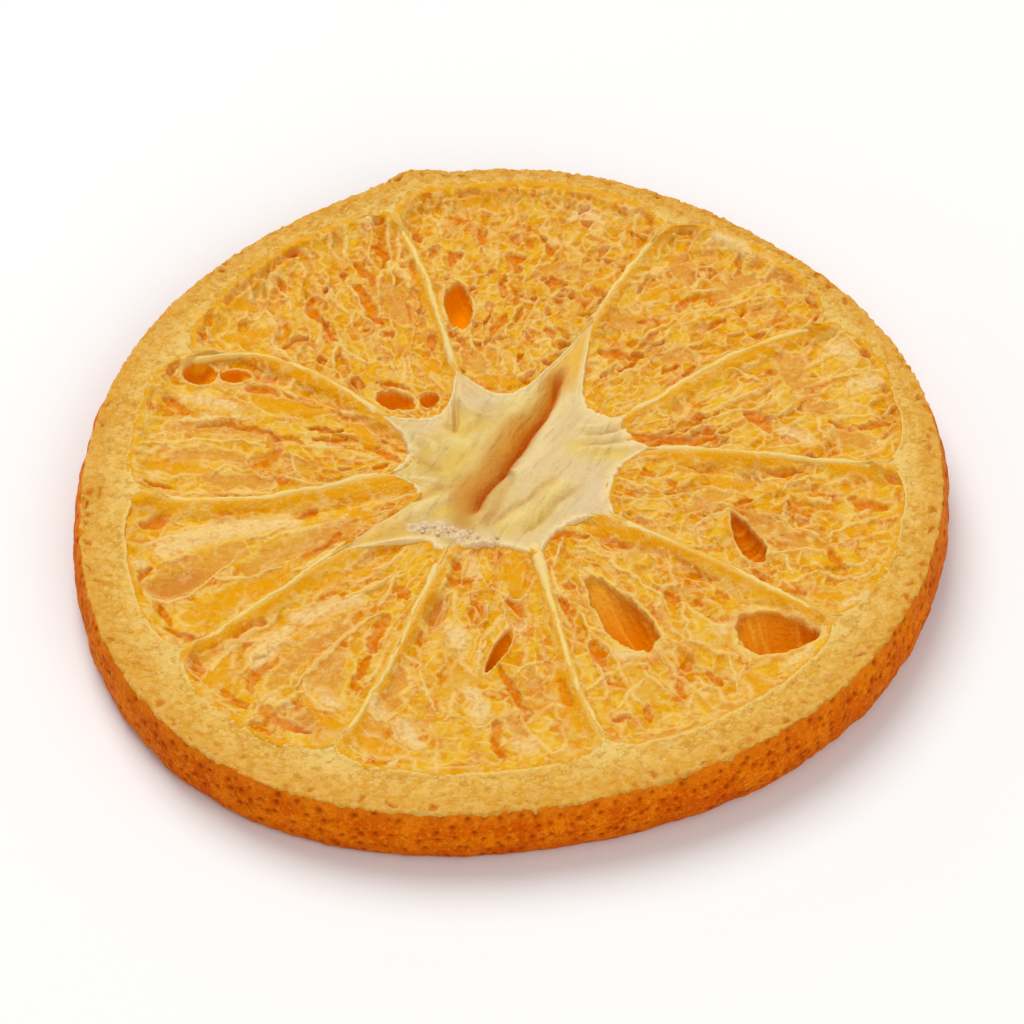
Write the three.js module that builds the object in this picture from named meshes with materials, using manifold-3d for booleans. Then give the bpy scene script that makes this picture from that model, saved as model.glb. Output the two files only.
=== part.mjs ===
// One slice of freeze-dried mandarin, lying on its lower cut face. Millimetres, +Z up.
// Everything is laid out in polar form about the core of the fruit, which sits a little off the middle of
// the slice: the core, ten wedges of pulp between membranes, and the rind round them, all one dry solid.
// The grid of the solid follows these borders, so each of them is a true edge or ridge.
import * as THREE from "three";
import { mergeVertices } from "three/addons/utils/BufferGeometryUtils.js";
import Module from "manifold-3d";

// Driving dimensions.
const RADIUS = 26; // of the round that the cut face nearly fills
const THICKNESS = 4.1; // of the rind, on average
const CORE = new THREE.Vector2(0.2, 1.87); // from the middle of the round
const PULP_SINK = 0.62; // how far the dry pulp lies below the rind
const CORE_SINK = 0.3; // the same for the core
const UNDER_SINK = 0.35; // the same on the lower face, so that the slice rests on its rind

// Uneven drying: [waves round the slice, height of the wave, where its crest is in degrees].
const OUTLINE_WAVES = [
  [2, 0.53, 46],
  [3, 0.56, -11],
  [4, 0.16, -36],
  [5, 0.17, 17],
];
const CORNER = { bearing: 104, out: 0.72, spread: 5 }; // the one corner in the outline
const TOP_WAVES = [
  [1, 0.3, 330],
  [3, 0.12, 330],
  [5, 0.05, 20],
];

// The rind is widest at the front and thinnest at the back right. Peel and white together.
const RIND_WIDTH = { average: 2.75, front: 0.8, left: 0.2 };
const RIND_THIN = { bearing: 45, less: 0.45, spread: 28 };

// A membrane leaves the core at `from`, passes `mid` half way and meets the rind at `to`, in degrees.
// `arm` is how far the core's white pith runs out along it, and `lobe` the core's radius in the next wedge.
const MEMBRANES = [
  { from: 10, mid: 3.5, to: 0, arm: 8.6, lobe: 7.2 },
  { from: 31, mid: 34, to: 31.5, arm: 8.4, lobe: 6.6 },
  { from: 67, mid: 66, to: 64, arm: 13.6, lobe: 5.9 },
  { from: 111, mid: 108, to: 108.7, arm: 9.3, lobe: 6.1 },
  { from: 150, mid: 146, to: 153.5, arm: 9.2, lobe: 5.8 },
  { from: 182, mid: 188, to: 184.5, arm: 7.6, lobe: 4.9 },
  { from: 213, mid: 216, to: 217, arm: 12.4, lobe: 6.8 },
  { from: 241, mid: 245.3, to: 245, arm: 7.9, lobe: 6.0 },
  { from: 284.5, mid: 283.2, to: 284.4, arm: 7.4, lobe: 5.7 },
  { from: 326.3, mid: 327.7, to: 327.2, arm: 7.9, lobe: 6.3 },
];
const ARM_HALF_ANGLE = 7; // degrees over which an arm of the core narrows
const CUSP = { reach: 1.3, halfWidth: 0.8 }; // the rind's fillet at the end of a membrane
const SCALLOP = 0.25; // how far the end of a wedge bulges into the rind
const MEMBRANE = { height: 0.42, halfWidth: 0.34, heightBelow: 0.2 };
const ARM_HEIGHT = 0.22; // of the core's arms above its lobes

// Burst juice sacs, open and deep, then hollows still closed by a film. Each is an ellipse given as
// [bearing and distance from the core, half length, half width, turn from the radius, depth].
const PITS = [
  [157.4, 20.1, 1.05, 1.0, 23, 1.5],
  [155.2, 18.1, 0.9, 0.62, 28, 1.2],
  [140.1, 8.2, 1.49, 0.75, 16, 1.3],
  [103.1, 13.2, 1.94, 0.85, -6, 2.1],
  [337.6, 15.5, 1.86, 0.62, -35, 1.6],
  [300.4, 13.0, 3.7, 1.4, 5, 1.6],
  [300.6, 15.1, 2.1, 1.65, 6, 1.8],
  [318.1, 20.3, 1.6, 1.5, 36, 1.9],
  [321.6, 21.1, 2.3, 1.15, 42, 1.6],
  [267.8, 15.1, 1.78, 0.5, -20, 1.5],
];
const HOLLOWS = [
  [204, 21.3, 2.3, 1.1, 4, 0.6],
  [238.2, 23.2, 1.5, 1.1, 90, 0.4],
  [249, 11.9, 1.5, 0.7, 6, 0.6],
  [357, 14.6, 1.6, 0.9, 60, 0.3],
];
const HOLLOW_SIDE = { from: 0.4, to: 1.2 }; // shares of the ellipse between which a hollow's side rises

// The tear in the core: a steep valley along one line through its centre.
// It keeps its full depth over the inner `full` share of its length, and then runs out.
const TEAR = { bearing: 65.5, back: 4.9, ahead: 8.6, full: 0.35, leftSlope: 1.5, rightSlope: 0.75, depth: 2.7 };

// Long ridges of the juice sacs: how many lie across a wedge, and how they sway along it and between wedges.
const SAC_RIDGES = { across: 3.5, height: 0.16, sway: 0.3, swayAlong: 4, swayNext: 1.7 };

// Rows of the grid: columns in each wedge, and rings in each zone from the middle outwards.
const COLUMNS = 15;
const CROWDING = 0.5; // how much closer the columns stand near the membranes
const CORE_RINGS = [0.2, 0.42, 0.64, 0.84];
const PULP_RINGS = 12;
const RIND_RINGS = [0.06, 0.4, 0.82, 1];
const STEP = 0.16; // the run of the steep step at a zone's border
const SIDE_RINGS = [0.86, 0.5, 0.14]; // as shares of the local thickness
const SIDE_BULGE = 0.3;
const EDGE_ROUND = { down: 0.22, in: 0.13 };
const UNDER_PULP_RINGS = 4;
const UNDER_CORE = 0.5; // the lower face's inner ring, as a share of the core's radius
const PIT_SIDES = 12;
const PIT_LEVELS = 8;
const SAME_POINT = 1e-4; // corners closer than this are one corner

const rad = THREE.MathUtils.degToRad;
const { lerp, smoothstep } = THREE.MathUtils;
const wrapped = (angle) => Math.atan2(Math.sin(angle), Math.cos(angle));
const bell = (x) => Math.exp(-x * x);

// Sum of the waves at an angle, each written as [count, height, crest in degrees].
function waves(list, angle) {
  return list.reduce((sum, [n, height, crest]) => sum + height * Math.cos(n * (angle - rad(crest))), 0);
}

// Distance from the core to the outer edge: to the round, then the waves and the corner.
function outlineRadius(angle) {
  const along = CORE.x * Math.cos(angle) + CORE.y * Math.sin(angle);
  const round = Math.sqrt(RADIUS ** 2 - CORE.lengthSq() + along ** 2) - along;
  const corner = CORNER.out * bell(wrapped(angle - rad(CORNER.bearing)) / rad(CORNER.spread));
  return round + waves(OUTLINE_WAVES, angle) + corner;
}

function rindWidth(angle) {
  const { average, front, left } = RIND_WIDTH;
  const thin = RIND_THIN.less * bell(wrapped(angle - rad(RIND_THIN.bearing)) / rad(RIND_THIN.spread));
  return average - front * Math.sin(angle) - left * Math.cos(angle) - thin;
}

// Angle of a membrane at a share of the way out: the parabola through its three angles.
function membraneAngle(membrane, share) {
  const { from, mid, to } = membrane;
  const inner = (1 - share) * (1 - 2 * share);
  const outer = share * (2 * share - 1);
  return rad(from * inner + 4 * mid * share * (1 - share) + to * outer);
}

// Angle of a grid column: `across` runs from 0 at this wedge's first membrane to 1 at the next.
function columnAngle(wedge, across, share) {
  const next = (wedge + 1) % MEMBRANES.length;
  const turn = next === 0 ? 2 * Math.PI : 0;
  const first = membraneAngle(MEMBRANES[wedge], share);
  const second = membraneAngle(MEMBRANES[next], share) + turn;
  return lerp(first, second, across);
}

// Columns stand closer together near the membranes.
function columnShare(column) {
  const even = column / COLUMNS;
  return even - (CROWDING * Math.sin(2 * Math.PI * even)) / (2 * Math.PI);
}

// Radius of the core: round lobes, drawn out to an arm along each membrane.
function coreRadius(wedge, angle) {
  const count = MEMBRANES.length;
  const own = MEMBRANES[wedge];
  const next = MEMBRANES[(wedge + 1) % count];
  const before = MEMBRANES[(wedge + count - 1) % count];
  let radius = own.lobe;
  for (const [membrane, neighbour] of [[own, before], [next, next]]) {
    const between = (own.lobe + neighbour.lobe) / 2;
    const near = Math.exp(-Math.abs(wrapped(angle - rad(membrane.from))) / rad(ARM_HALF_ANGLE));
    radius += (between - own.lobe) * near ** 2 + (membrane.arm - between) * near;
  }
  return radius;
}

// Radius of the rind's inner border: its width in from the outline, with a fillet at each membrane.
function rindInnerRadius(wedge, across, angle) {
  const radius = outlineRadius(angle) - rindWidth(angle);
  const next = (wedge + 1) % MEMBRANES.length;
  let fillet = 0;
  for (const membrane of [MEMBRANES[wedge], MEMBRANES[next]]) {
    const away = Math.abs(wrapped(angle - rad(membrane.to))) * radius;
    fillet += CUSP.reach * Math.exp(-away / CUSP.halfWidth);
  }
  return radius - fillet + SCALLOP * Math.sin(Math.PI * across);
}

function topHeight(angle) {
  return THICKNESS + waves(TOP_WAVES, angle);
}

// Depth of the film-covered hollows at a point given by its bearing and distance from the core.
function hollowDepth(angle, distance) {
  let deepest = 0;
  for (const [bearing, out, halfLength, halfWidth, turn, depth] of HOLLOWS) {
    const along = distance * Math.cos(angle - rad(bearing)) - out;
    const aside = distance * Math.sin(angle - rad(bearing));
    const c = Math.cos(rad(turn));
    const s = Math.sin(rad(turn));
    const share = Math.hypot((along * c + aside * s) / halfLength, (aside * c - along * s) / halfWidth);
    deepest = Math.max(deepest, depth * (1 - smoothstep(share, HOLLOW_SIDE.from, HOLLOW_SIDE.to)));
  }
  return deepest;
}

// Depth of the pulp below the top of the rind: sunk, with sac ridges, a membrane at each side and hollows.
function pulpDrop(wedge, across, share, angle, distance) {
  const width = (columnAngle(wedge, 1, share) - columnAngle(wedge, 0, share)) * distance;
  const aside = Math.min(across, 1 - across) * width;
  const wall = MEMBRANE.height * bell(aside / MEMBRANE.halfWidth);
  const sway = SAC_RIDGES.sway * Math.sin(SAC_RIDGES.swayAlong * share + SAC_RIDGES.swayNext * wedge);
  const ridges = SAC_RIDGES.height * Math.cos(2 * Math.PI * (SAC_RIDGES.across * across + sway));
  return PULP_SINK - wall - ridges * Math.sin(Math.PI * across) + hollowDepth(angle, distance);
}

// Depth of the core below the rind: arms stand up, and the tear cuts through the middle.
function coreDrop(wedge, across, share, angle, distance) {
  const along = distance * Math.cos(angle - rad(TEAR.bearing));
  const aside = distance * Math.sin(angle - rad(TEAR.bearing));
  const length = along > 0 ? TEAR.ahead : TEAR.back;
  const open = 1 - smoothstep(Math.abs(along) / length, TEAR.full, 1);
  const slope = aside > 0 ? TEAR.leftSlope : TEAR.rightSlope;
  const valley = TEAR.depth * open * Math.exp(-Math.abs(aside) / slope);
  const arms = ARM_HEIGHT * Math.cos(2 * Math.PI * across) * share;
  return CORE_SINK - arms + valley;
}

// One grid point, given where it is in the plane and how high.
function point(angle, distance, height) {
  return [CORE.x + distance * Math.cos(angle), CORE.y + distance * Math.sin(angle), height];
}

// The points of one column, from the middle of the upper face over the side to the middle of the lower one.
function columnPoints(column) {
  const wedge = Math.floor(column / COLUMNS) % MEMBRANES.length;
  const across = columnShare(column % COLUMNS);
  const inner = columnAngle(wedge, across, 0);
  const outer = columnAngle(wedge, across, 1);
  const core = coreRadius(wedge, inner);
  const rindIn = rindInnerRadius(wedge, across, outer);
  const edge = outlineRadius(outer);
  const top = topHeight(outer);
  const points = [point(0, 0, THICKNESS - coreDrop(0, 0, 0, 0, 0))];

  for (const share of CORE_RINGS) {
    const distance = share * core;
    points.push(point(inner, distance, top - coreDrop(wedge, across, share, inner, distance)));
  }
  points.push(point(inner, core - STEP, top - coreDrop(wedge, across, 1, inner, core)));
  for (let ring = 0; ring <= PULP_RINGS; ring++) {
    const share = ring / PULP_RINGS;
    const angle = columnAngle(wedge, across, share);
    const distance = lerp(core, rindIn - STEP, share);
    points.push(point(angle, distance, top - pulpDrop(wedge, across, share, angle, distance)));
  }
  for (const share of RIND_RINGS) {
    const round = share === 1 ? EDGE_ROUND.down : 0;
    points.push(point(outer, lerp(rindIn, edge - EDGE_ROUND.in, share), top - round));
  }
  for (const share of SIDE_RINGS) {
    const bulge = SIDE_BULGE * Math.sin(Math.PI * share);
    points.push(point(outer, edge + bulge, top * share));
  }
  points.push(point(outer, edge - EDGE_ROUND.down, 0));
  points.push(point(outer, rindIn, 0));
  for (let ring = UNDER_PULP_RINGS; ring >= 1; ring--) {
    const share = ring / UNDER_PULP_RINGS;
    const angle = columnAngle(wedge, across, share);
    const distance = lerp(UNDER_CORE * core, rindIn - STEP, share);
    const width = (columnAngle(wedge, 1, share) - columnAngle(wedge, 0, share)) * distance;
    const aside = Math.min(across, 1 - across) * width;
    const wall = MEMBRANE.heightBelow * bell(aside / MEMBRANE.halfWidth);
    points.push(point(angle, distance, UNDER_SINK - wall));
  }
  points.push(point(inner, UNDER_CORE * core, UNDER_SINK));
  points.push(point(0, 0, UNDER_SINK));
  return points;
}

// The slice starts as one section turned round the core, and each grid point then takes its own place.
function bodyGeometry() {
  const columns = COLUMNS * MEMBRANES.length;
  const all = Array.from({ length: columns }, (_, column) => columnPoints(column));
  const section = all[0].map(([x, y, z]) => new THREE.Vector2(Math.hypot(x - CORE.x, y - CORE.y), z));
  const geometry = new THREE.LatheGeometry(section.reverse(), columns);
  const place = geometry.getAttribute("position");
  for (let i = 0; i < place.count; i++) {
    const column = Math.floor(i / section.length) % columns;
    const ring = section.length - 1 - (i % section.length);
    place.setXYZ(i, ...all[column][ring]);
  }
  return geometry;
}

// A burst sac as an ellipsoid whose widest level lies in the surface of the pulp.
function pitGeometry([bearing, out, halfLength, halfWidth, turn, depth]) {
  const angle = rad(bearing);
  const geometry = new THREE.SphereGeometry(1, PIT_SIDES, PIT_LEVELS);
  geometry.scale(halfLength, halfWidth, depth);
  geometry.rotateZ(angle + rad(turn));
  geometry.translate(...point(angle, out, topHeight(angle) - PULP_SINK));
  return geometry;
}

const wasm = await Module();
wasm.setup();

// A closed geometry as a solid that can be cut.
function solidOf(geometry) {
  geometry.deleteAttribute("normal");
  geometry.deleteAttribute("uv");
  const merged = mergeVertices(geometry, SAME_POINT);
  const mesh = new wasm.Mesh({
    numProp: 3,
    vertProperties: merged.getAttribute("position").array,
    triVerts: Uint32Array.from(merged.index.array),
  });
  return new wasm.Manifold(mesh);
}

function geometryOf(solid) {
  const { vertProperties, triVerts } = solid.getMesh();
  const geometry = new THREE.BufferGeometry();
  geometry.setAttribute("position", new THREE.BufferAttribute(vertProperties, 3));
  geometry.setIndex(new THREE.BufferAttribute(triVerts, 1));
  return geometry;
}

// The body with its burst sacs cut out, moved so that the middle of its outline is over the origin.
function sliceGeometry() {
  let solid = solidOf(bodyGeometry());
  for (const pit of PITS) {
    solid = solid.subtract(solidOf(pitGeometry(pit)));
  }
  const geometry = geometryOf(solid);
  geometry.computeBoundingBox();
  const middle = geometry.boundingBox.getCenter(new THREE.Vector3());
  geometry.translate(-middle.x, -middle.y, 0);
  geometry.computeVertexNormals();
  return geometry;
}

const driedPulp = new THREE.MeshStandardMaterial({ color: 0xe69a2e, roughness: 0.9, metalness: 0 });
const slice = new THREE.Mesh(sliceGeometry(), driedPulp);
slice.name = "mandarin_slice";

const part = new THREE.Group();
part.add(slice);
export default part;
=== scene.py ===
import math

import bpy
import numpy as np
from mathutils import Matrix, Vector


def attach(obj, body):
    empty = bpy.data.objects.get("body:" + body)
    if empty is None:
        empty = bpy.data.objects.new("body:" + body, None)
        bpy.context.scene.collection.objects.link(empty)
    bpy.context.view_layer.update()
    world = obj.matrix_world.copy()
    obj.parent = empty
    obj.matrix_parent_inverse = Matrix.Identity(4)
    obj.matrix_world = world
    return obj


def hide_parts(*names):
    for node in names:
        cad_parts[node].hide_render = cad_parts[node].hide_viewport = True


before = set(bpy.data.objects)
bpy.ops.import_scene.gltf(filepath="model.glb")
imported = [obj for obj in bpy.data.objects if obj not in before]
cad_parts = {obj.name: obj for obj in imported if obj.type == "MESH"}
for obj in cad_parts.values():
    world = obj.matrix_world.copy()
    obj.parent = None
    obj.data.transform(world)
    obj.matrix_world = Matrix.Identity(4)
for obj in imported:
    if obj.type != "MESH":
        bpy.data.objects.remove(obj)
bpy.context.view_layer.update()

# A freeze-dried mandarin slice, lying on its lower cut face. Shapes are worked out in millimetres, in polar form
# about the fruit's core, from the same driving dimensions as the solid, and put into the meshes in metres.

MM = 0.001
RADIUS = 26.0
THICKNESS = 4.1
CORE = (0.2, 1.87)
PULP_SINK = 0.62
CORE_SINK = 0.3
UNDER_SINK = 0.35
OUTLINE_WAVES = [(2, 0.53, 46), (3, 0.56, -11), (4, 0.16, -36), (5, 0.17, 17)]
CORNER_BEARING, CORNER_OUT, CORNER_SPREAD = 104, 0.72, 5
TOP_WAVES = [(1, 0.3, 330), (3, 0.12, 330), (5, 0.05, 20)]
RIND_AVERAGE, RIND_FRONT, RIND_LEFT = 2.75, 0.8, 0.2
RIND_THIN_BEARING, RIND_THIN_LESS, RIND_THIN_SPREAD = 45, 0.45, 28
ARM_HALF_ANGLE = 7
CUSP_REACH, CUSP_HALF_WIDTH = 1.3, 0.8
SCALLOP = 0.25
SIDE_BULGE = 0.3
EDGE_ROUND = 0.22
SKIN = 0.45  # thickness of the coloured peel
TEAR_BEARING, TEAR_BACK, TEAR_AHEAD, TEAR_DEPTH = 65.5, 4.9, 8.6, 2.7

# Each membrane: bearing at the core, half way and at the rind; reach of the core's arm; the next lobe's radius.
MEMBRANES = np.array([
    (10, 3.5, 0, 8.6, 7.2),
    (31, 34, 31.5, 8.4, 6.6),
    (67, 66, 64, 13.6, 5.9),
    (111, 108, 108.7, 9.3, 6.1),
    (148, 145.5, 153.5, 9.3, 5.8),
    (182, 188, 184.5, 7.6, 4.9),
    (213, 216, 217, 12.4, 6.8),
    (241, 245.3, 245, 7.9, 6.0),
    (284.5, 283.2, 284.4, 7.4, 5.7),
    (326.3, 327.7, 327.2, 7.9, 6.3),
])
FROM, MIDWAY, TO = np.radians(MEMBRANES[:, 0]), np.radians(MEMBRANES[:, 1]), np.radians(MEMBRANES[:, 2])
ARM, LOBE = MEMBRANES[:, 3], MEMBRANES[:, 4]
WEDGES = len(MEMBRANES)

# Burst sacs: bearing and distance from the core, half length, half width, turn from the radius, depth, and how
# much wider the outer end is than the middle.
PITS = [
    (156, 20.3, 1.05, 0.95, 23, 1.4, 0),
    (153.6, 18.3, 0.95, 0.62, 28, 1.1, 0),
    (138.3, 9.1, 1.25, 0.72, 26, 1.2, 0),
    (127.7, 7.75, 0.6, 0.55, 40, 0.9, 0),
    (102.6, 13.8, 1.94, 0.85, -6, 1.7, 0),
    (338.3, 15.2, 2.05, 0.72, -44, 1.6, 0.5),
    (299.5, 13.3, 3.5, 1.25, 3.5, 1.8, 0.35),
    (320.4, 20.7, 2.5, 1.6, 34, 1.8, -0.45),
    (267.6, 14.3, 1.85, 0.42, -22, 0.85, -0.3),
]
# Hollows that a film still covers, in the same form.
HOLLOWS = [
    (204, 21.3, 2.5, 1.05, 4, 0.3),
    (238.2, 23.2, 1.5, 1.1, 90, 0.4),
    (249, 11.9, 1.5, 0.7, 6, 0.6),
    (357, 14.6, 1.6, 0.9, 60, 0.3),
]

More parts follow.
